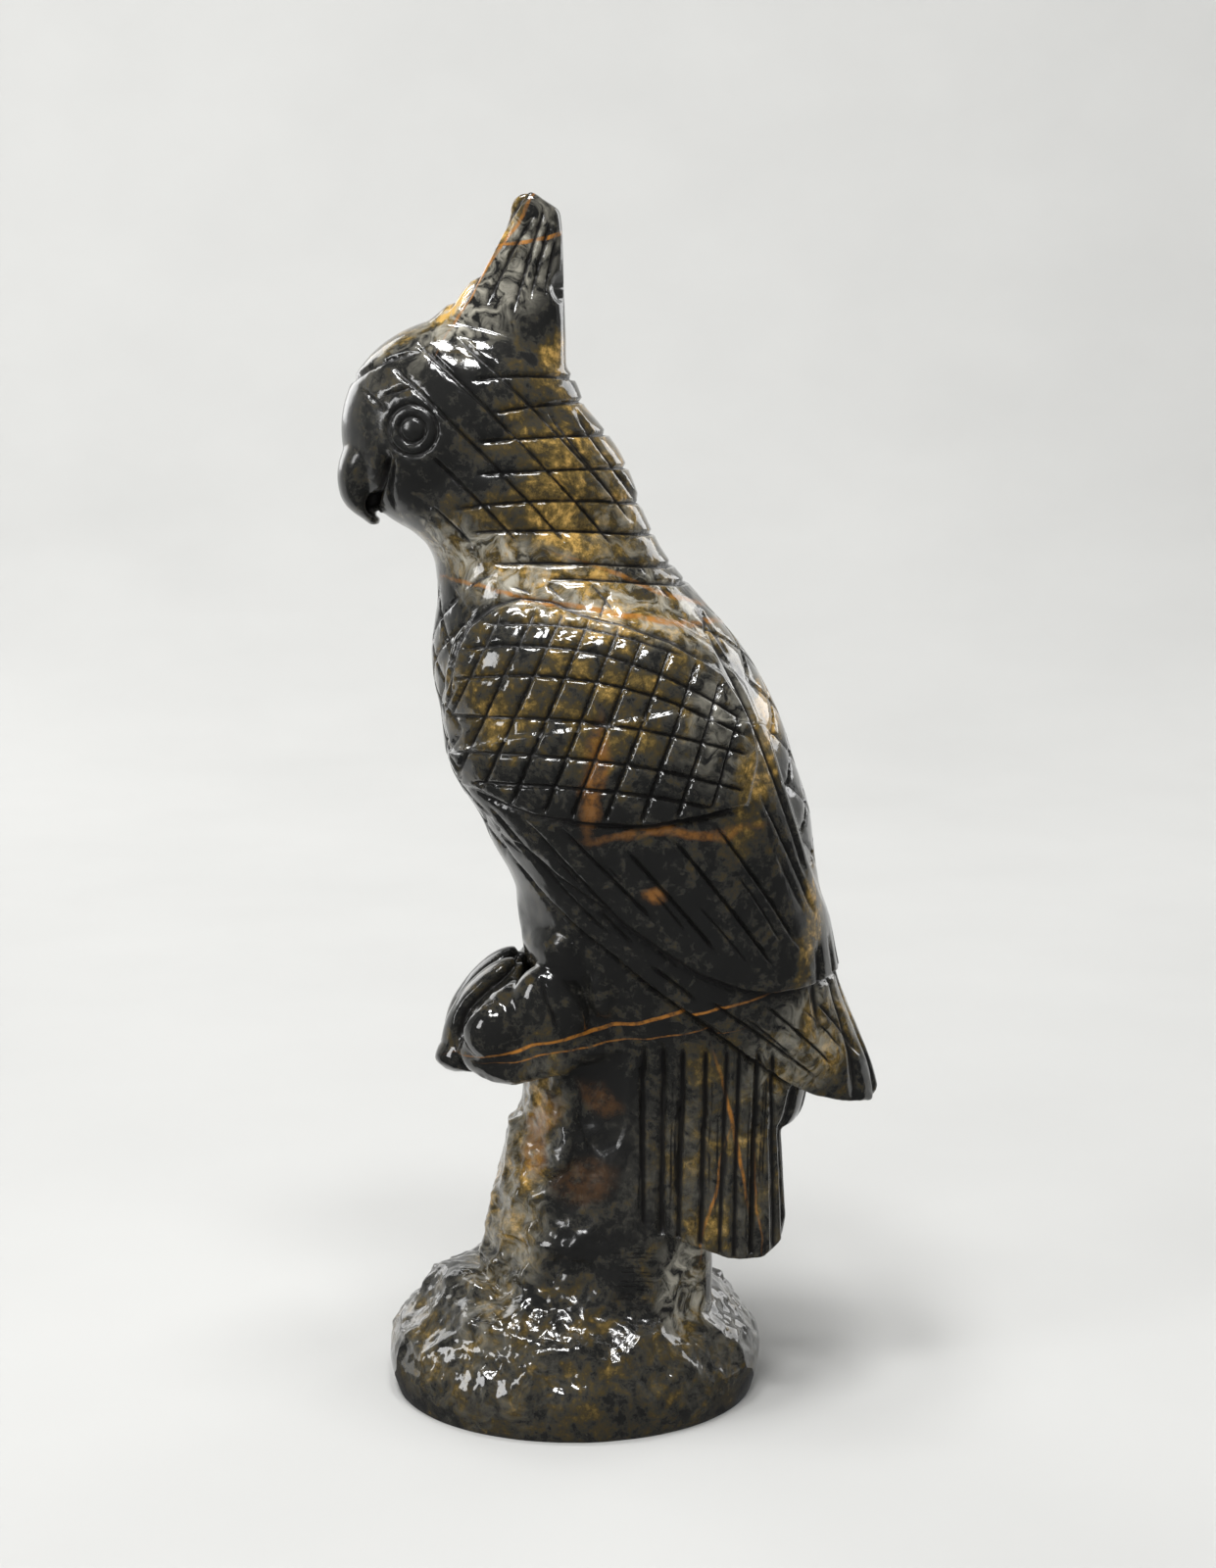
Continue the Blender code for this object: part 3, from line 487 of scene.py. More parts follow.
    barbs: tuple[Bow, ...] = (
        (-4.6, 121.4, 3.4, 113.0, 0), (5.2, 121.0, 12.0, 113.6, 0.2), (14.8, 115.4, 24.0, 103.6, 0.2),
        (23.4, 112.8, 36.4, 96.6, 0.6), (31.4, 119.2, 43.0, 100.4, 0.8), (40.4, 121.0, 47.0, 107.0, 0.4),
        (16.0, 91.4, 34.0, 79.6, 0.8), (33.0, 87.6, 47.0, 75.0, 0.6), (45.6, 88.4, 56.6, 75.8, 0.8),
    )
    primaries: tuple[Bow, ...] = (
        (4.2, 110.6, 13.0, 101.5, 0), (14.5, 98.5, 26.0, 89.0, 0.4), (26.9, 90.5, 51.0, 71.0, 0.6),
        (38.1, 89.4, 54.6, 73.0, 0.8), (49.1, 89.2, 60.0, 74.4, 0.8),
    )
    covert_edge: tuple[Point2, ...] = (
        (-21.5, 134.6), (-14.2, 131.2), (-7, 129.0), (3, 127.9), (15, 127.3), (25, 129.0), (34.0, 130.8),
    )
    wing_low: tuple[Point2, ...] = (
        (-12.5, 118.6), (-7.0, 112.0), (-2.6, 107.9), (4.2, 102.2), (9.1, 98.4), (14, 93.9), (18.9, 89.9),
        (25.1, 85.1), (31.4, 80.2), (37.9, 74.7), (44.4, 69.7), (50.0, 66.8),
    )
    wing_edge: tuple[Point2, ...] = (
        (-11.7, 123.4), (-3.1, 115.9), (6.6, 109.5), (13.9, 103.8), (24.9, 95.9), (34.3, 92.0),
        (40.6, 90.8), (47.1, 91.0), (56, 92.4),
    )
    flutes: tuple[Point2, ...] = ((18.4, 18.2), (22.6, 21.6), (27.4, 26.2), (38.1, 37.1))
    soft_flutes: tuple[Point2, ...] = ((14.4, 14.8), (31.7, 30.2), (34.2, 33.3), (40.8, 42.2))
    flute_heights: tuple[float, float] = (80, 30)
    crest_cuts: tuple[Bow, ...] = (
        (-8.3, 251.0, -22.1, 226.9, 2.2), (-5.0, 248.0, -11.6, 226.5, 1.0), (-2.4, 243.0, -5.4, 229.3, 0.4),
        (-12.4, 245.0, -25.2, 226.5, 2.0), (-6.8, 246.5, -16.8, 228.0, 1.6), (-3.6, 246.0, -8.4, 228.6, 0.8),
    )
    eye: Point2 = (-31.4, 203.8)
    eye_rings: tuple[float, float] = (2.6, 5.0)
    mouth: tuple[Point2, ...] = (
        (-36.4, 199.6), (-37.6, 195.0), (-39.0, 191.4), (-40.4, 188.6), (-40.2, 185.6),
    )
    jaw: tuple[Point2, ...] = ((-34.9, 198.7), (-35.6, 194.8), (-36.3, 190.8), (-35.4, 187.4))
    covert_arches: tuple[Point2, ...] = (
        (135.4, 0.0036), (141.4, 0.0040), (149.0, 0.0043), (157.6, 0.0069), (162.6, 0.0085), (167.2, 0.0069),
    )
    arch_middle: float = -8
    arch_span: tuple[float, float, float] = (-28.0, 42.0, 3.0)
    fan_count: int = 12
    fan_start: float = -18.6
    fan_pitch: float = 6.0
    fan_lean: float = 0.50
    fan_lean_step: float = 0.016
    fan_heights: tuple[float, float] = (171, 126)
    fan_rise: float = 1.0
    chip: tuple[float, float, float] = (-1.4, -4.0, 231.6)
    chip_radius: float = 3.4
    chip_depth: float = 1.8
    layer_step: float = 1.0

    def forms(self) -> list[bpy.types.Object]:
        """The bird's main forms, overlapping one another."""
        return [
            loft("torso", self.torso),
            shaped_slab("wings", self.wing, self.wing_envelope, squareness=2.5),
            shaped_slab("tail", self.tail, self.tail_envelope, squareness=3.0),
            ball("head", self.head, segments=128),
            loft("beak", self.beak, levels=70, around=72),
            loft("mouth_core", self.mouth_core, levels=30, around=48),
            loft("crest", self.crest, squareness=2.8, levels=130, around=96),
        ]

    def layers(self, side: np.ndarray) -> np.ndarray:
        """How far each point is raised by the wing's two layers, stepping down to the wing tip."""
        coverts = smooth_step(inside_outline(side, self.coverts), -0.5, 0.7)
        secondaries = smooth_step(inside_outline(side, self.secondaries), -0.4, 0.6)
        on_wing = smooth_step(inside_outline(side, self.wing), -1.5, 0.5)
        return self.layer_step * on_wing * (coverts + secondaries)

    def chipped(self, points: np.ndarray) -> np.ndarray:
        """How deep the old chip on the back of the crest is at each point."""
        from_chip = np.linalg.norm(points - np.array(self.chip), axis=1)
        return self.chip_depth * np.clip(1 - (from_chip / self.chip_radius) ** 2, 0, None)

    def hatching(self) -> list[np.ndarray]:
        """The cross-hatching of the shoulder: arches along the wing and a fan of cuts, none quite even."""
        hand = np.random.default_rng(SEED)
        paths = []
        for top, sag in self.covert_arches:
            middle, slip = self.arch_middle, hand.uniform(-0.5, 0.5)
            tilt = hand.uniform(-0.012, 0.012)
            x = np.arange(*self.arch_span)
            paths.append(np.stack([x, top + slip - sag * (x - middle) ** 2 + tilt * (x - middle)], axis=1))
        head_z, foot_z = self.fan_heights
        for k in range(self.fan_count):
            head_x = self.fan_start + self.fan_pitch * k + hand.uniform(-0.45, 0.45)
            lean = self.fan_lean - self.fan_lean_step * k + hand.uniform(-0.012, 0.012)
            paths.append(bow(head_x, head_z, head_x - lean * (head_z - foot_z), foot_z, self.fan_rise))
        return paths

    def lattice(self, pitch: float, slope: float, reach: float, low: float, high: float) -> list[np.ndarray]:
        """Two crossing families of cuts in the front view.

        Args:
            pitch: Height between neighbouring cuts.
            slope: Rise of a cut for each unit across.
            reach: Half width of the patch.
            low: Height at which the patch starts.
            high: Height at which it ends.

        Returns:
            The cuts as paths.
        """
        rise = slope * reach
        starts = np.arange(low - rise, high + rise, pitch)
        leans = (rise, -rise)
        return [bow(-reach, start - lean, reach, start + lean) for start in starts for lean in leans]

    def cuts(self) -> list[Cuts]:
        """Every family of wheel cuts on the bird."""
        side, front = View.SIDE, View.FRONT
        lines = self.neck_rings + self.neck_slants + self.crown + self.primaries
        wing_back = bow(26.0, 165.6, 47.6, 114.0, 5.0)
        hand = np.random.default_rng(SEED)
        across = hand.uniform(14, 43, 16)
        striae = [bow(x, hand.uniform(66, 78), x - 0.7, hand.uniform(32, 48)) for x in across]
        head_z, foot_z = self.flute_heights
        flutes = [bow(head_x, head_z, foot_x, foot_z) for head_x, foot_x in self.flutes]
        soft_flutes = [bow(head_x, head_z, foot_x, foot_z) for head_x, foot_x in self.soft_flutes]
        backs = [bow(5.6 * k, 102, 5.6 * k, 33) for k in range(-3, 4)]
        eye_rings = [ring(self.eye, radius) for radius in self.eye_rings]
        return [
            Cuts("neck_and_primary_cuts", side, bows(lines), 1.3, 1.05),
            Cuts("crest_cuts", side, bows(self.crest_cuts), 1.6, 1.1),
            Cuts("collar_cuts", side, bows(self.collar), 1.0, 0.5, taper=2),
            Cuts("flight_cuts", side, bows(self.flight), 1.2, 1.1, taper=6),
            Cuts("barb_cuts", side, bows(self.barbs), 1.0, 0.6, taper=5),
            Cuts("hatching_cuts", side, self.hatching(), 1.35, 1.15, within=self.coverts),
            Cuts("shoulder_cut", side, [self.shoulder, wing_back], 1.3, 0.9, taper=6),
            Cuts("covert_edge_cut", side, [self.covert_edge], 1.7, 1.3, taper=5),
            Cuts("wing_low_cut", side, [self.wing_low], 1.8, 1.4, taper=6),
            Cuts("wing_edge_cut", side, [self.wing_edge], 1.9, 1.5),
            Cuts("mouth_cut", side, [self.mouth], 2.8, 2.4, taper=2),
            Cuts("jaw_cut", side, [self.jaw], 1.3, 0.8, taper=2),
            Cuts("eye_cuts", side, eye_rings, 1.25, 0.9, closed=True),
            Cuts("breast_cuts", front, self.lattice(8.5, 0.9, 24, 120, 172), 1.25, 0.8, stencil="breast"),
            Cuts("mantle_cuts", front, self.lattice(10.5, 0.75, 30, 103, 167), 1.25, 0.85, stencil="mantle"),
            Cuts("parting_cuts", front, [bow(0, 70, 0, 252)], 2.2, 1.0, stencil="parting"),
            Cuts("flute_cuts", side, flutes, 2.6, 1.3, stencil="tail_flank"),
            Cuts("soft_flute_cuts", side, soft_flutes, 2.2, 0.8, stencil="tail_flank"),
            Cuts("stria_cuts", side, striae, 0.8, 0.22, stencil="tail_flank"),
            Cuts("tail_back_cuts", front, backs, 2.6, 1.1, stencil="tail_back"),
        ]

    def stencils(self, points: np.ndarray, normals: np.ndarray) -> dict[str, np.ndarray]:
        """Where some families may cut, as a share at each point."""
        x, _, z = points.T
        side = points[:, [0, 2]]
        facing = normals[:, 0]
        off_wing = 1 - smooth_step(inside_outline(side, self.wing), -2, -0.5)
        breast = smooth_step(-facing, 0.55, 0.8) * smooth_step(z, 116, 122) * (1 - smooth_step(z, 168, 174))
        mantle = smooth_step(facing, 0.35, 0.6) * smooth_step(z, 100, 106) * (1 - smooth_step(z, 164, 170))
        parting = smooth_step(-facing, 0.2, 0.5) * smooth_step(z, 222, 228)
        wing_tips = smooth_step(facing, 0.3, 0.6) * (1 - smooth_step(z, 100, 112)) * smooth_step(x, 49, 51)
        flank = smooth_step(np.abs(normals[:, 1]), 0.3, 0.6)
        flank = smooth_step(inside_outline(side, self.tail), -0.5, 0.5) * flank
        back = smooth_step(facing, 0.4, 0.7) * smooth_step(z, 34, 38) * (1 - smooth_step(z, 96, 104))
        return {
            "breast": breast,
            "mantle": mantle * off_wing,
            "parting": np.maximum(parting, 1.4 * wing_tips),
            "tail_flank": flank,
            "tail_back": back * smooth_step(x, 38, 42),
        }


@dataclass
class Perch:
    """The stump under the bird, with its feet over the ledge."""

    trunk: tuple[Section, ...] = (
        (94, -3.0, 20.0, 14.6), (84, -7.0, 22.0, 15.8), (72, -8.4, 23.0, 15.6), (64, -8.7, 24.5, 15.8),
        (58, -9.9, 26.0, 16.2), (53, -12.8, 27.0, 17.0), (48, -14.2, 27.8, 17.8), (41, -15.8, 28.4, 18.8),
        (34, -17.0, 28.8, 20.0), (28, -18.6, 29.0, 21.6), (20, -22.0, 29.0, 24.0), (4, -22.0, 29.0, 24.0),
    )
    ledge: tuple[Section, ...] = (
        (85, -16, 4, 14), (81.5, -23.6, 10.0, 18.0), (78.4, -25.8, 13.0, 19.6), (76.2, -25.2, 13.4, 19.8),
        (74.6, -21.0, 10.0, 19.0), (73.6, -17.4, 4.0, 17.8),
    )
    thigh: Ball = ((-1.0, 0.0, 98.0), (9.8, 19.5, 11.0), -20)
    feet: tuple[Ball, ...] = (
        ((-18.8, 5.0, 83.8), (5.8, 6.4, 12.8), 37),
        ((-16.0, 14.6, 81.6), (6.8, 6.4, 6.6), 0),
        ((-4.8, 15.2, 86.0), (8.0, 6.0, 9.6), -8),
        ((-10.0, 12.0, 83.2), (9.0, 7.2, 8.6), 30),
        ((6.3, 16.4, 91.6), (3.5, 3.8, 6.8), 0),
    )
    column: Ball = ((23.2, 9.4, 26.0), (6.0, 6.0, 30.0), 0)
    panel: tuple[Point2, ...] = (
        (2.0, 77), (0.9, 74), (0.6, 61), (2.6, 57.0), (6.0, 55.4), (9.2, 57.0), (10.8, 61), (11.0, 74),
        (10.0, 77),
    )
    ridge: tuple[Point2, ...] = (
        (-0.6, 78), (-0.8, 72.8), (0.0, 61.1), (0.8, 55.8), (-1.7, 52.2), (-6.3, 49.8), (-9.7, 46.3),
        (-10.9, 41.5), (-12.6, 36.7), (-14.4, 31.3), (-17.4, 24), (-44, 22), (-44, 78),
    )
    ridge_step: float = 2.2
    panel_depth: float = 0.9
    sawn_low: float = 24.0
    sawn_high: float = 37.0
    toe_gap: tuple[Point2, ...] = (
        (-10.4, 94.8), (-13.6, 92.4), (-17.4, 90.0), (-21.8, 86.0), (-23.5, 83.0), (-24.0, 76.4),
    )
    toe_crease: tuple[Point2, ...] = ((-6.4, 94.0), (-4.9, 89.0), (-2.6, 82.0))

    def forms(self) -> list[bpy.types.Object]:
        """The stump, its ledge, the thigh and the feet."""
        feet = [part for k, shape in enumerate(self.feet) for part in pair(f"foot_{k}", shape)]
        return [
            loft("trunk", self.trunk, levels=130),
            loft("ledge", self.ledge, squareness=2.6, levels=60, around=96),
            ball("thigh", self.thigh),
            *feet,
            *pair("column", self.column),
        ]

    def cuts(self) -> list[Cuts]:
        """The cuts that part the toes."""
        return [
            Cuts("toe_gap_cut", View.SIDE, [self.toe_gap], 2.4, 2.0),
            Cuts("toe_crease_cut", View.SIDE, [self.toe_crease], 1.6, 0.9),
            Cuts("saw_marks", View.SIDE, self.saw_marks(), 0.7, 0.07, taper=3, stencil="sawn"),
        ]

    def saw_marks(self) -> list[np.ndarray]:
        """The fine, nearly level marks that the wheel left on the sawn side of the stump."""
        levels = np.arange(self.sawn_low, self.sawn_high, 0.95)
        return [bow(8.6 + 2.6 * math.sin(2.1 * z), z, 18.4 + math.sin(1.3 * z), z - 1.2, 0.3) for z in levels]

    def stencils(self, points: np.ndarray, normals: np.ndarray) -> dict[str, np.ndarray]:
        """Where the saw left its marks, as a share at each point."""
        return {"sawn": smooth_step(np.abs(normals[:, 1]), 0.4, 0.7)}

    def on_ridge(self, points: np.ndarray) -> np.ndarray:
        """Which points lie on the rough ridge down the stump's front, as a share."""
        z = points[:, 2]
        ends = smooth_step(z, 22, 30) * (1 - smooth_step(z, 74, 77))
        return ends * smooth_step(inside_outline(points[:, [0, 2]], self.ridge), -0.8, 1.0)

    def relief(self, points: np.ndarray) -> np.ndarray:
        """How far each point is raised by the ridge or lowered by the panel ground beside it."""
        panel = smooth_step(inside_outline(points[:, [0, 2]], self.panel), -0.6, 0.6)
        return self.ridge_step * self.on_ridge(points) - self.panel_depth * panel


@dataclass
class Plinth:
    """The rocky mound under the stump, with a smooth band round its foot."""

    length: float = 80.0
    width: float = 70.0
    band: float = 8.0
    top: float = 25.5
    chip: float = 10.0
    chip_depth: float = 3.4
    sink: float = 1.5

    def forms(self) -> list[bpy.types.Object]:
        """The mound, as a body through oval sections."""
        band, rise = self.band, self.top - self.band
        profile = (
            (-self.sink, 0.945, 0.945), (0, 0.955, 0.955), (band * 0.6, 0.990, 0.990), (band, 1.0, 1.0),
            (band + rise * 0.14, 0.995, 0.99), (band + rise * 0.36, 0.945, 0.935),
            (band + rise * 0.60, 0.86, 0.845), (band + rise * 0.82, 0.765, 0.725), (band + rise, 0.64, 0.56),
        )
        half_x, half_y = self.length / 2, self.width / 2
        sections = [(z, -half_x * front, half_x * back, half_y * back) for z, front, back in profile]
        return [loft("mound", tuple(sections), squareness=2.0, levels=60, around=160)]

    def rocky(self, points: np.ndarray, on_ridge: np.ndarray) -> np.ndarray:
        """Where plinth, stump and thigh were left chiselled, as a share at each point.

        Args:
            points: Points of the stone's surface.
            on_ridge: Which of them lie on the stump's ridge, as a share.

        Returns:
            The share of each point.
        """
        x, _, z = points.T
        low = smooth_step(z, self.band * 0.8, self.band * 1.5) * (1 - smooth_step(z, 58, 74))
        ground = smooth_step(x, 3, 8) * smooth_step(z, 24, 32)
        under_tail = smooth_step(x, 12, 17) * smooth_step(z, 18, 24)
        thigh = 0.3 * smooth_step(z, 97, 100) * (1 - smooth_step(z, 104, 108)) * (1 - smooth_step(x, 2, 8))
        return np.maximum.reduce([low * (1 - np.maximum(ground, under_tail)), thigh, 0.8 * on_ridge])

    def chiselled(self, points: np.ndarray) -> np.ndarray:
        """How far the chisel's scoops stand out at each point."""
        reach = points[:, 2] < 110
        relief = np.zeros(len(points))
        relief[reach] = scooped(points[reach], self.chip, self.chip_depth, SEED)
        return relief


@dataclass(frozen=True)
class Cloud:
    """A cloud of mineral in the stone, or a sheet of it where one radius is thin.

    Places and radii are in millimetres of the side view, and so is the lean, in degrees.
    """

    centre: Point2
    radii: Point2
    share: float
    lean: float = 0.0
    edge: float = 0.5
    sheet: bool = False
    y: float = 0.0
    depth: float = 90.0

    def inside(self, node: NodeAdder, place: Socket) -> Socket:
        """How far inside the cloud a place is, from 0 to 1, with a soft edge."""
        (x, z), (length, height) = self.centre, self.radii
        values = {
            "Vector": place, "Location": (x, self.y, z), "Scale": (length, self.depth, height),
            "Rotation": (0.0, math.radians(self.lean), 0.0),
        }
        local = node("ShaderNodeMapping", values, vector_type="TEXTURE")
        reach = node("ShaderNodeVectorMath", {0: local}, out="Value", operation="LENGTH")
        edges = {0: reach, 1: 1 + self.edge, 2: 1 - self.edge, 3: 0.0, 4: 1.0}
        return node("ShaderNodeMapRange", edges, interpolation_type="SMOOTHSTEP")


CLOUDS = {
    Mineral.OCHRE: (
        Cloud((7, 196), (19, 24), 0.54),
        Cloud((-12, 184), (16, 7), 0.26),
        Cloud((-17.5, 237), (1.9, 19), 0.60, lean=32, edge=0.35, sheet=True),
        Cloud((-31, 224), (13, 2.0), 0.60, lean=-32, edge=0.4, sheet=True),
        Cloud((-3, 219), (4, 5), 0.50),
        Cloud((0, 171), (37, 5), 0.50, lean=14),
        Cloud((41, 149), (4.6, 30), 0.66, lean=20),
        Cloud((51, 112), (3.2, 26), 0.60, lean=14),
        Cloud((-2, 151), (29, 15), 0.38),
        Cloud((54, 80), (13, 9), 0.54, lean=-40),
        Cloud((31, 54), (13, 28), 0.34),
        Cloud((6, 66), (5, 13), -0.20),
        Cloud((12, 110), (34, 11), -0.08, lean=38),
        Cloud((-12, 50), (7, 26), 0.50, lean=14),
        Cloud((0, 10), (50, 16), 0.25),
    ),
    Mineral.GREY: (
        Cloud((14, 190), (10, 18), 0.45),
        Cloud((-2, 173.5), (36, 5.5), 1.0, lean=14),
        Cloud((31, 151), (9, 14), 0.45),
        Cloud((-16, 235), (9, 17), 0.75, lean=32),
        Cloud((-13, 46), (7, 26), 0.50, lean=14),
        Cloud((-22, 12), (20, 12), 0.14),
        Cloud((30, 14), (14, 12), 0.14),
        Cloud((23, 27), (6, 9), 0.80, y=-14, depth=12),
        Cloud((48, 80), (14, 9), 0.60, lean=-40),
        Cloud((30, 50), (18, 24), 0.12),
        Cloud((-31, 224), (13, 7), 0.40, lean=-32),
    ),
    Mineral.RUST: (
        Cloud((4.5, 137), (2.2, 10), 0.45, lean=6),
        Cloud((17, 112), (2.2, 1.5), 0.55, y=-30, depth=12),
        Cloud((20, 126.2), (15, 1.1), 0.45, lean=-3),
        Cloud((6, 168.8), (30, 0.55), 0.85, lean=10, sheet=True),
        Cloud((14, 173), (16, 0.4), 0.60, lean=22, sheet=True),
        Cloud((-15.5, 237), (0.35, 17), 0.80, lean=32, sheet=True),
        Cloud((-7, 58), (2.0, 8), 0.40, lean=14),
        Cloud((5, 68), (5, 2.4), 0.14, lean=30),
        Cloud((2, 50), (6, 4), 0.12),
        Cloud((33, 60), (0.40, 15), 0.75, lean=-13, sheet=True),
        Cloud((29, 46), (0.32, 13), 0.65, lean=12, sheet=True),
        Cloud((38, 48), (0.25, 12), 0.45, lean=-6, sheet=True),
        Cloud((9, 83.5), (30, 0.40), 0.95, lean=-13.5, edge=0.3, sheet=True),
        Cloud((8, 79.6), (24, 0.20), 0.55, lean=-9, edge=0.3, sheet=True),
        Cloud((-6, 241.5), (9, 0.45), 0.85, lean=-12, edge=0.3, sheet=True),
    ),
    Mineral.SATIN: (
        Cloud((20, 108), (44, 22), 0.42, lean=30),
        Cloud((10, 50), (16, 28), 0.45),
        Cloud((-36, 196), (22, 17), 0.42, edge=0.35),
    ),
}


@dataclass(frozen=True)
class Pattern:
    """A noise of one grain in millimetres, with its range from low to high spread from least to most."""

    grain: float
    detail: float
    roughness: float
    low: float
    high: float
    least: float
    most: float
    distortion: float = 0.0

    def on(self, node: NodeAdder, place: Socket) -> Socket:
        """The pattern's value at a place."""
        values = {
            "Vector": place, "Scale": 1 / self.grain, "Detail": self.detail, "Roughness": self.roughness,
            "Distortion": self.distortion,
        }
        noise = node("ShaderNodeTexNoise", values)
        return node("ShaderNodeMapRange", {0: noise, 1: self.low, 2: self.high, 3: self.least, 4: self.most})


@dataclass(frozen=True)
class PolishedJasper:
    """Jasper, an opaque quartz stained by iron, ground with wheels and buffed with wax.

    The polish gives sharp reflections, and the cuts keep a dull floor that the buff didn't reach, whose
    colour is darkened as painted shade in the grooves, with some polishing dirt.
    """

    name: str = "polished_jasper"
    charcoal: str = "#1c1c1b"
    slate: str = "#31302c"
    olive: str = "#403722"
    ochre: str = "#6c5930"
    honey: str = "#b89452"
    grey: str = "#a39f92"
    rust: str = "#a46c2b"
    # Near-black of the cut floors: painted shade in the grooves, with some polishing dirt
    cut_shade_and_dirt: str = "#0d0b09"
    stops: tuple[float, ...] = (0.0, 0.2, 0.46, 0.72, 1.0)
    mottle: Pattern = Pattern(7.0, 8.0, 0.68, 0.38, 0.64, -0.22, 0.36, distortion=0.4)
    specks: Pattern = Pattern(1.9, 4.0, 0.7, 0.34, 0.66, -0.24, 0.2)
    wisps: Pattern = Pattern(4.5, 6.0, 0.62, 0.44, 0.66, 0.0, 1.0, distortion=1.2)
    stain: Pattern = Pattern(2.2, 5.0, 0.7, 0.36, 0.56, 0.15, 1.0)
    ior: float = 1.54
    wax: float = 0.25
    wax_roughness: float = 0.03
    polish: float = 0.09
    dull: float = 0.5
    ripple_grain: float = 1.6
    ripple_height: float = 0.00012

    def material(self, clouds: dict[Mineral, tuple[Cloud, ...]]) -> bpy.types.Material:
        """Builds the stone.

        Args:
            clouds: Where each mineral lies.

        Returns:
            The material.
        """
        stone = bpy.data.materials.new(self.name)
        stone.use_nodes = True
        tree = stone.node_tree
        node = partial(add_node, tree)
        place = node("ShaderNodeTexCoord", out="Object")
        mm = node("ShaderNodeVectorMath", {0: place, "Scale": MM_IN_METRE}, operation="SCALE")
        # The stone's layers were folded while soft: clouds are warped over centimetres, thin sheets less
        folded = self.warped(node, mm, grain=26.0, amount=9.0)
        folded = self.warped(node, folded, grain=5.0, amount=3.4)
        drawn = self.warped(node, mm, grain=13.0, amount=3.2)
        base = {0: self.mottle.on(node, folded), 1: self.specks.on(node, drawn)}
        levels = dict.fromkeys(Mineral, 0.0)
        levels[Mineral.OCHRE] = node("ShaderNodeMath", base, operation="ADD")
        for mineral, group in clouds.items():
            for cloud in group:
                inside = cloud.inside(node, drawn if cloud.sheet else folded)
                values = {0: inside, 1: cloud.share, 2: levels[mineral]}
                levels[mineral] = node("ShaderNodeMath", values, operation="MULTIPLY_ADD")
        values = {0: levels[Mineral.GREY], 1: self.wisps.on(node, folded)}
        grey = node("ShaderNodeMath", values, operation="MULTIPLY")
        values = {0: levels[Mineral.RUST], 1: self.stain.on(node, mm)}
        rust = node("ShaderNodeMath", values, operation="MULTIPLY", use_clamp=True)
        cut = node("ShaderNodeAttribute", out="Fac", attribute_name="cut_share")
        # Painted shade: the cut share darkens each cut's floor towards near-black, for the shade in the
        # grooves and some polishing dirt, and it also dulls the polish there
        floor = node("ShaderNodeMapRange", {0: cut, 1: 0.35, 2: 0.75, 3: 0.0, 4: 0.94})
        colour = self.ramp(node, levels[Mineral.OCHRE])
        for share, over in ((grey, self.grey), (rust, self.rust), (floor, self.cut_shade_and_dirt)):
            colour = node("ShaderNodeMix", {0: share, 6: colour, 7: linear(over)}, out=2, data_type="RGBA")
        unpolished = node("ShaderNodeMath", {0: floor, 1: levels[Mineral.SATIN]}, operation="MAXIMUM")
        sheen = node("ShaderNodeMapRange", {0: unpolished, 1: 0.0, 2: 1.0, 3: self.polish, 4: self.dull})
        # Buffing follows the grain of the quartz and leaves a faint ripple
        values = {"Vector": mm, "Scale": 1 / self.ripple_grain, "Detail": 3.0, "Roughness": 0.55}
        ripple = node("ShaderNodeTexNoise", values)
        bump = node("ShaderNodeBump", {"Height": ripple, "Strength": 0.35, "Distance": self.ripple_height})
        give(tree, tree.nodes["Principled BSDF"], {
            "Base Color": colour, "Roughness": sheen, "Normal": bump, "Coat Normal": bump, "IOR": self.ior,
            "Coat Weight": self.wax, "Coat Roughness": self.wax_roughness,
        })
        return stone

    @staticmethod
    def warped(node: NodeAdder, place: Socket, grain: float, amount: float) -> Socket:
        """Moves a place to and fro by a noise.

        Args:
            node: What adds a node to the material's tree.
            place: The place in millimetres.
            grain: Size of the folds in millimetres.
            amount: How far a place moves, in millimetres.

        Returns:
            The moved place.
        """
        noise = node("ShaderNodeTexNoise", {"Vector": place, "Scale": 1 / grain, "Detail": 2.0}, out=1)
        centred = node("ShaderNodeVectorMath", {0: noise, 1: (0.5, 0.5, 0.5)}, operation="SUBTRACT")
        shift = node("ShaderNodeVectorMath", {0: centred, "Scale": amount}, operation="SCALE")
        return node("ShaderNodeVectorMath", {0: place, 1: shift}, operation="ADD")

    def ramp(self, node: NodeAdder, level: Socket) -> Socket:
        """The iron colours in order, from charcoal to honey."""
        colour = node("ShaderNodeValToRGB", {0: level})
        elements = colour.node.color_ramp.elements
        tones = (self.charcoal, self.slate, self.olive, self.ochre, self.honey)
        while len(elements) < len(tones):
            elements.new(0.5)
        for element, position, tone in zip(elements, self.stops, tones):
            element.position = position
            element.color = linear(tone)
        return colour


@dataclass(frozen=True)
class MattCard:
    """Matt card of the studio's floor and backdrop: rough and pale, with no gloss."""

    name: str = "matt_card"
    colour: str = "#c6c6c4"
    roughness: float = 0.9
    gloss: float = 0.1
    fleck_scale: float = 9.0
    darkest_fleck: float = 0.96

    def material(self) -> bpy.types.Material:
        """Builds the card."""
        card = bpy.data.materials.new(self.name)
        card.use_nodes = True
        tree = card.node_tree
        node = partial(add_node, tree)
        place = node("ShaderNodeTexCoord", out="Object")
        fleck = node("ShaderNodeTexNoise", {"Vector": place, "Scale": self.fleck_scale, "Detail": 3.0})
        shade = node("ShaderNodeMapRange", {0: fleck, 1: 0.3, 2: 0.7, 3: self.darkest_fleck, 4: 1.0})
        tones = {0: shade, 6: (0.0, 0.0, 0.0, 1.0), 7: linear(self.colour)}
        colour = node("ShaderNodeMix", tones, out=2, data_type="RGBA")
        give(tree, tree.nodes["Principled BSDF"], {
            "Base Color": colour, "Roughness": self.roughness, "Specular IOR Level": self.gloss,
        })
        return card


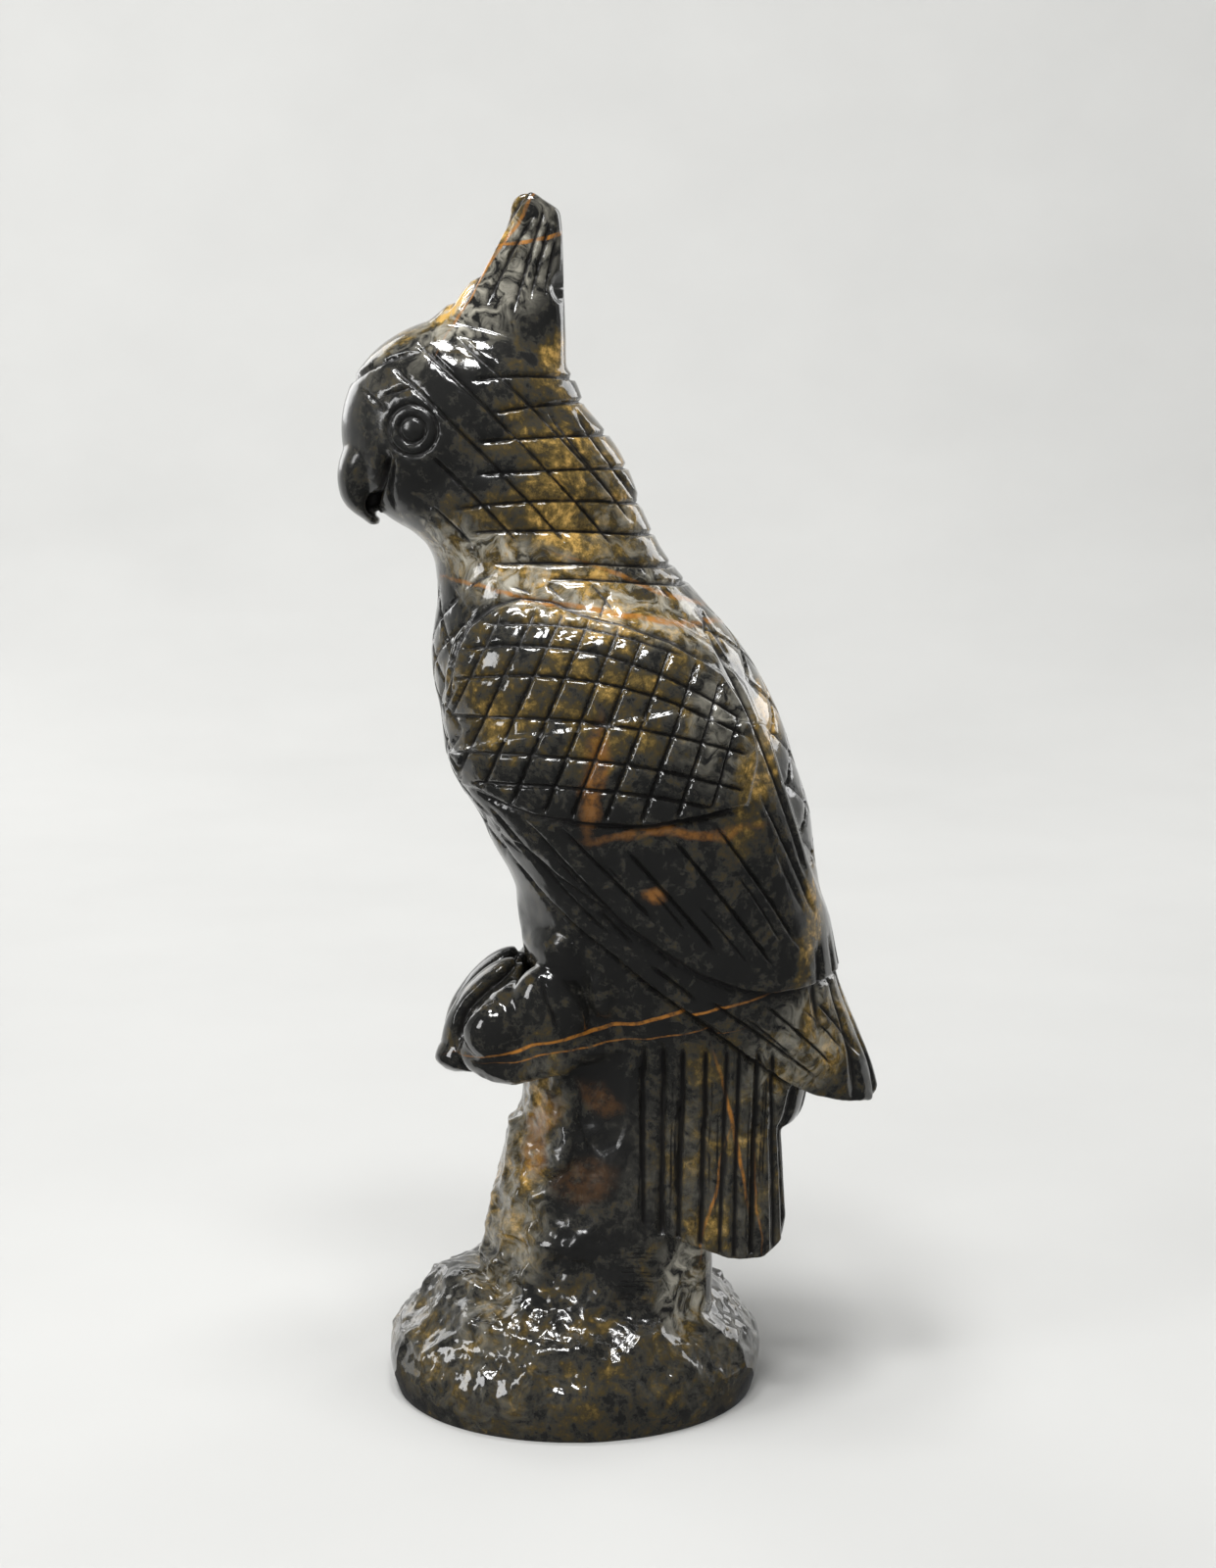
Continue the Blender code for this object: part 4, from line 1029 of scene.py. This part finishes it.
@dataclass
class Carver:
    """Fuses the forms, shapes the rock and layers, makes the wheel cuts and thins the result to its limit."""

    bird: Bird
    perch: Perch
    plinth: Plinth
    voxel: float = 0.00040
    triangles: int = 198000
    wander: float = 0.22
    wander_grain: float = 6.0
    chip_size: float = 4.2
    chip_depth: float = 0.9
    hand: float = 0.36
    hand_grain: float = 9.0
    soften_passes: int = 14

    def fused(self) -> bpy.types.Object:
        """One closed mesh of all the forms, with soft junctions."""
        joined = bmesh.new()
        for part in self.bird.forms() + self.perch.forms() + self.plinth.forms():
            joined.from_mesh(part.data)
            bpy.data.objects.remove(part)
        mesh = bpy.data.meshes.new("forms")
        joined.to_mesh(mesh)
        joined.free()
        block = place_in_scene("block", mesh)
        remesh = block.modifiers.new("fuse", "REMESH")
        remesh.mode = "VOXEL"
        remesh.voxel_size = self.voxel
        soften = block.modifiers.new("soften", "SMOOTH")
        soften.factor = 0.5
        soften.iterations = self.soften_passes
        block.data = evaluated_mesh(block)
        block.modifiers.clear()
        return block

    def shape(self, block: bpy.types.Object) -> None:
        """Raises the layers, scoops the rock and stores the stencils of the cuts.

        Args:
            block: The fused forms, whose mesh is changed.
        """
        mesh = block.data
        count = len(mesh.vertices)
        places = np.empty(count * 3, np.float32)
        mesh.vertices.foreach_get("co", places)
        normals = np.empty(count * 3, np.float32)
        mesh.vertex_normals.foreach_get("vector", normals)
        points = places.reshape(-1, 3).astype(float) / UNIT
        normals = normals.reshape(-1, 3).astype(float)
        side = points[:, [0, 2]]
        rocky = self.plinth.rocky(points, self.perch.on_ridge(points))
        push = self.bird.layers(side) + self.plinth.chiselled(points) * rocky
        push += self.perch.relief(points) - self.bird.chipped(points)
        places = (points + normals * push[:, None]) * UNIT
        mesh.vertices.foreach_set("co", places.astype(np.float32).ravel())
        stencils = {"everywhere": np.ones(count), "rocky": rocky, **self.bird.stencils(points, normals)}
        stencils |= self.perch.stencils(points, normals)
        for name, share in stencils.items():
            mesh.attributes.new(name, "FLOAT", "POINT").data.foreach_set("value", share.astype(np.float32))
        mesh.update()

    @staticmethod
    def tree(name: str, sockets: dict[str, str]) -> tuple[NodeAdder, dict[str, Socket], dict[str, str]]:
        """An empty geometry tree.

        Args:
            name: The tree's name.
            sockets: Its inputs' names and socket types, after the geometry.

        Returns:
            What adds a node to the tree, the tree's inputs as sockets, and each input's identifier.
        """
        tree = bpy.data.node_groups.new(name, "GeometryNodeTree")
        interface = tree.interface
        interface.new_socket("Geometry", in_out="INPUT", socket_type="NodeSocketGeometry")
        interface.new_socket("Geometry", in_out="OUTPUT", socket_type="NodeSocketGeometry")
        made = {
            label: interface.new_socket(label, in_out="INPUT", socket_type="NodeSocket" + kind).identifier
            for label, kind in sockets.items()
        }
        return partial(add_node, tree), tree.nodes.new("NodeGroupInput").outputs, made

    @staticmethod
    def close(node: NodeAdder, geometry: Socket, material: Socket) -> None:
        """Ends a tree in real, dressed geometry."""
        real = node("GeometryNodeRealizeInstances", {0: geometry})
        dressed = node("GeometryNodeSetMaterial", {0: real, "Material": material})
        node("NodeGroupOutput", {0: dressed})

    def wheel_tree(self) -> Group:
        """The tree that marks how deep a family of cuts goes at each point.

        Returns:
            The tree and its inputs' identifiers.
        """
        node, given, made = self.tree("wheel cuts", {
            "Guide": "Object", "View": "Vector", "Stencil": "String", "Width": "Float", "Depth": "Float",
            "Wander": "Float", "Wander Grain": "Float", "Material": "Material",
        })
        place = node("GeometryNodeInputPosition")
        often = node("ShaderNodeMath", {0: 1.0, 1: given["Wander Grain"]}, operation="DIVIDE")
        noise = node("ShaderNodeTexNoise", {"Vector": place, "Scale": often, "Detail": 1.0}, out="Color")
        centred = node("ShaderNodeVectorMath", {0: noise, 1: (0.5, 0.5, 0.5)}, operation="SUBTRACT")
        shift = node("ShaderNodeVectorMath", {0: centred, "Scale": given["Wander"]}, operation="SCALE")
        held = node("ShaderNodeVectorMath", {0: place, 1: shift}, operation="ADD")
        flat = node("ShaderNodeVectorMath", {0: held, 1: given["View"]}, operation="MULTIPLY")
        guide = node("GeometryNodeObjectInfo", {"Object": given["Guide"]}, out="Geometry")
        near = {"Geometry": guide, "Sample Position": flat}
        gap = node("GeometryNodeProximity", near, out="Distance", target_element="EDGES")
        half = node("ShaderNodeMath", {0: given["Width"], 1: 0.5}, operation="MULTIPLY")
        share = node("ShaderNodeMapRange", {0: gap, 1: 0.0, 2: half, 3: 1.0, 4: 0.0})
        stencil = self.stored(node, given["Stencil"])
        share = node("ShaderNodeMath", {0: share, 1: stencil}, operation="MULTIPLY")
        depth = node("ShaderNodeMath", {0: share, 1: given["Depth"]}, operation="MULTIPLY")
        geometry = given["Geometry"]
        for name, value in (("cut_share", share), ("cut_depth", depth)):
            deeper = node("ShaderNodeMath", {0: value, 1: self.stored(node, name)}, operation="MAXIMUM")
            values = {"Geometry": geometry, "Name": name, "Value": deeper}
            geometry = node("GeometryNodeStoreNamedAttribute", values, data_type="FLOAT", domain="POINT")
        self.close(node, geometry, given["Material"])
        return geometry.id_data, made

    @staticmethod
    def stored(node: NodeAdder, name: str | Socket) -> Socket:
        """The value that was stored on the mesh under a name."""
        return node("GeometryNodeInputNamedAttribute", {"Name": name}, out="Attribute", data_type="FLOAT")

    def relief_tree(self) -> Group:
        """The tree that presses the cuts in, chips the rock and leaves the polish slightly uneven.

        Returns:
            The tree and its inputs' identifiers.
        """
        node, given, made = self.tree("stone relief", {
            "Chip Size": "Float", "Chip Depth": "Float", "Hand": "Float", "Hand Grain": "Float",
            "Material": "Material",
        })
        place = node("GeometryNodeInputPosition")
        often = node("ShaderNodeMath", {0: 1.0, 1: given["Chip Size"]}, operation="DIVIDE")
        cells = node("ShaderNodeTexVoronoi", {"Vector": place, "Scale": often, "Detail": 1.0}, out="Distance")
        flakes = node("ShaderNodeMath", {0: cells, 1: 0.4}, operation="SUBTRACT")
        flakes = node("ShaderNodeMath", {0: flakes, 1: self.stored(node, "rocky")}, operation="MULTIPLY")
        flakes = node("ShaderNodeMath", {0: flakes, 1: given["Chip Depth"]}, operation="MULTIPLY")
        slow = node("ShaderNodeMath", {0: 1.0, 1: given["Hand Grain"]}, operation="DIVIDE")
        noise = node("ShaderNodeTexNoise", {"Vector": place, "Scale": slow, "Detail": 1.0})
        uneven = node("ShaderNodeMath", {0: noise, 1: 0.5}, operation="SUBTRACT")
        uneven = node("ShaderNodeMath", {0: uneven, 1: given["Hand"], 2: flakes}, operation="MULTIPLY_ADD")
        out = node("ShaderNodeMath", {0: uneven, 1: self.stored(node, "cut_depth")}, operation="SUBTRACT")
        normal = node("GeometryNodeInputNormal")
        push = node("ShaderNodeVectorMath", {0: normal, "Scale": out}, operation="SCALE")
        moved = node("GeometryNodeSetPosition", {"Geometry": given["Geometry"], "Offset": push})
        self.close(node, moved, given["Material"])
        return moved.id_data, made

    @staticmethod
    def add_step(block: bpy.types.Object, name: str, group: Group, values: dict) -> None:
        """Gives a block one more step of Geometry Nodes.

        Args:
            block: The stone.
            name: The step's name.
            group: The tree and its inputs' identifiers.
            values: What each input is given, by its label.
        """
        step = block.modifiers.new(name, "NODES")
        step.node_group, made = group
        for label, value in values.items():
            step[made[label]] = value

    def cut(self, block: bpy.types.Object, material: bpy.types.Material) -> None:
        """Makes every wheel cut and the fine relief, and thins the mesh.

        Args:
            block: The shaped stone, whose mesh is replaced.
            material: The stone's finish.
        """
        wheel = self.wheel_tree()
        guides = []
        for family in self.bird.cuts() + self.perch.cuts():
            guides.append(family.guide())
            self.add_step(block, family.name, wheel, {
                "Guide": guides[-1], "View": family.view.mask, "Stencil": family.stencil,
                "Width": family.width * UNIT, "Depth": family.depth * UNIT, "Wander": self.wander * UNIT,
                "Wander Grain": self.wander_grain * UNIT, "Material": material,
            })
            LOG.info("%s: %d cuts", family.name, len(family.paths))
        self.add_step(block, "stone relief", self.relief_tree(), {
            "Chip Size": self.chip_size * UNIT, "Chip Depth": self.chip_depth * UNIT,
            "Hand": self.hand * UNIT, "Hand Grain": self.hand_grain * UNIT, "Material": material,
        })
        thin = block.modifiers.new("thin", "DECIMATE")
        thin.ratio = min(1.0, self.triangles / (2 * len(block.data.polygons)))
        block.data = evaluated_mesh(block)
        block.modifiers.clear()
        for guide in guides:
            bpy.data.objects.remove(guide)

    @staticmethod
    def flat_underside(mesh: bpy.types.Mesh) -> None:
        """Cuts the plinth level at the floor and closes it."""
        form = bmesh.new()
        form.from_mesh(mesh)
        everything = form.verts[:] + form.edges[:] + form.faces[:]
        cut = bmesh.ops.bisect_plane(
            form, geom=everything, plane_co=(0, 0, 0), plane_no=(0, 0, 1), clear_inner=True, dist=1e-6
        )
        rim = [edge for edge in cut["geom_cut"] if isinstance(edge, bmesh.types.BMEdge)]
        bmesh.ops.holes_fill(form, edges=rim)
        bmesh.ops.triangulate(form, faces=form.faces[:])
        form.to_mesh(mesh)
        form.free()

    def carve(self, material: bpy.types.Material) -> bpy.types.Object:
        """Carves the whole stone.

        Args:
            material: The stone's finish.

        Returns:
            The finished piece.
        """
        block = self.fused()
        LOG.info("forms fused: %d faces", len(block.data.polygons))
        self.shape(block)
        self.cut(block, material)
        self.flat_underside(block.data)
        mesh = block.data
        for name in [a.name for a in mesh.attributes if a.data_type == "FLOAT" and a.name != "cut_share"]:
            mesh.attributes.remove(mesh.attributes[name])
        mesh.materials.clear()
        mesh.materials.append(material)
        mesh.shade_smooth()
        block.name = "polished_stone"
        return block


@dataclass(frozen=True)
class Softbox:
    """A soft light: where it stands, what it points at, its size in metres and its power in watts."""

    name: str
    place: tuple[float, float, float]
    target: tuple[float, float, float]
    width: float
    height: float
    watts: float
    colour: str = "#ffffff"
    in_polish: bool = True

    def put_up(self) -> None:
        """Adds the light to the scene, and leaves it out of the stone's reflections if it is meant to be."""
        lamp = bpy.data.lights.new(self.name, "AREA")
        lamp.shape = "RECTANGLE"
        lamp.size, lamp.size_y = self.width, self.height
        lamp.energy = self.watts
        lamp.color = linear(self.colour)[:3]
        light = bpy.data.objects.new(self.name, lamp)
        light.visible_glossy = self.in_polish
        light.location = self.place
        aim = Vector(self.target) - Vector(self.place)
        light.rotation_euler = aim.to_track_quat("-Z", "Y").to_euler()
        bpy.context.scene.collection.objects.link(light)


@dataclass
class Studio:
    """A plain pale floor that curves up into a wall, soft light, and the camera."""

    picture_height: float = 1600.0
    focal_pixels: float = 2485.0
    film: float = 36.0
    eye: tuple[float, float, float] = (0.00719, -0.5, 0.215)
    look_down: float = 9.6
    floor_radius: float = 0.75
    cove_radius: float = 0.85
    wall_height: float = 1.6
    air_colour: str = "#d8dade"
    air_strength: float = 0.1
    skylights: tuple[tuple[float, float, float], ...] = (
        (-0.17, -0.30, 0.80), (0.05, -0.32, 0.82), (-0.19, -0.06, 0.86), (0.05, -0.06, 0.88),
    )
    skylight_size: tuple[float, float] = (0.15, 0.12)
    skylight_watts: float = 1.9
    lights: tuple[Softbox, ...] = (
        Softbox("window_left", (-0.75, -0.45, 0.45), (0, 0, 0.12), 0.22, 0.42, 2.4),
        Softbox("front_fill", (-0.25, -1.00, 0.55), (0, 0, 0.12), 0.90, 0.70, 4.4, in_polish=False),
        Softbox("wall_wash", (-0.25, 0.60, 1.05), (-0.25, 1.60, 0.35), 1.40, 0.25, 13.0),
        Softbox("back_right", (0.70, 0.60, 0.50), (0, 0, 0.12), 0.40, 0.60, 2.1),
        Softbox("back_left", (-0.60, 0.70, 0.50), (0, 0, 0.12), 0.40, 0.60, 1.7),
    )

    def build(self) -> None:
        """Builds the room, hangs the lights and sets up the camera."""
        card = MattCard().material()
        behind, before = self.half_room("studio_behind", 0.0), self.half_room("studio_before", math.pi)
        for half in (behind, before):
            half.data.materials.append(card)
        # The half on the camera's side lights nothing, so that the polish reflects a dim room there
        before.visible_glossy = False
        size, watts = self.skylight_size, self.skylight_watts
        for letter, place in zip("abcd", self.skylights):
            Softbox(f"skylight_{letter}", place, (0, 0, 0.15), *size, watts).put_up()
        for light in self.lights:
            light.put_up()
        self.sky()
        self.camera()

    def half_room(self, name: str, start: float) -> bpy.types.Object:
        """Half of a round floor whose rim curves up into a wall, as one turned sheet.

        Args:
            name: The half's name.
            start: Where it starts, in radians from +X.

        Returns:
            The half room.
        """
        bend = [math.radians(90 * k / 12) for k in range(13)]
        floor, cove = self.floor_radius, self.cove_radius
        profile = [(0.0, 0.0), *((floor + cove * math.sin(t), cove * (1 - math.cos(t))) for t in bend)]
        profile.append((floor + cove, self.wall_height))
        sheet = bmesh.new()
        verts = [sheet.verts.new((r * math.cos(start), 0.0, z)) for r, z in profile]
        edges = [sheet.edges.new(two) for two in zip(verts[:-1], verts[1:])]
        geometry = verts + edges
        bmesh.ops.spin(sheet, geom=geometry, cent=(0, 0, 0), axis=(0, 0, 1), angle=math.pi, steps=48)
        bmesh.ops.remove_doubles(sheet, verts=sheet.verts, dist=1e-5)
        bmesh.ops.recalc_face_normals(sheet, faces=sheet.faces)
        sheet.faces.ensure_lookup_table()
        if sheet.faces[0].normal.z < 0:
            bmesh.ops.reverse_faces(sheet, faces=sheet.faces)
        mesh = bpy.data.meshes.new(name)
        sheet.to_mesh(mesh)
        sheet.free()
        mesh.shade_smooth()
        return place_in_scene(name, mesh)

    def sky(self) -> None:
        """Dim, even light from all round."""
        world = bpy.data.worlds.new("studio_air")
        world.use_nodes = True
        background = world.node_tree.nodes["Background"]
        give(world.node_tree, background, {"Color": linear(self.air_colour), "Strength": self.air_strength})
        bpy.context.scene.world = world

    def camera(self) -> None:
        """Stands the camera where the photograph was taken from."""
        lens = bpy.data.cameras.new("camera")
        lens.sensor_width = self.film
        lens.lens = self.film * self.focal_pixels / self.picture_height
        camera = bpy.data.objects.new("camera", lens)
        camera.location = self.eye
        camera.rotation_euler = (math.radians(90 - self.look_down), 0, 0)
        bpy.context.scene.collection.objects.link(camera)
        bpy.context.scene.camera = camera


def main() -> None:
    """Carves and dresses the stone, and sets the studio round it."""
    logging.basicConfig(level=logging.INFO, format="%(name)s: %(message)s")
    bpy.context.scene.view_settings.view_transform = "Standard"
    Studio().build()
    carver = Carver(Bird(), Perch(), Plinth())
    stone = carver.carve(PolishedJasper().material(CLOUDS))
    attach(stone, "root")
    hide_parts(NODE)
    LOG.info("%s: %d triangles", stone.name, len(stone.data.polygons))


if __name__ == "__main__":
    main()
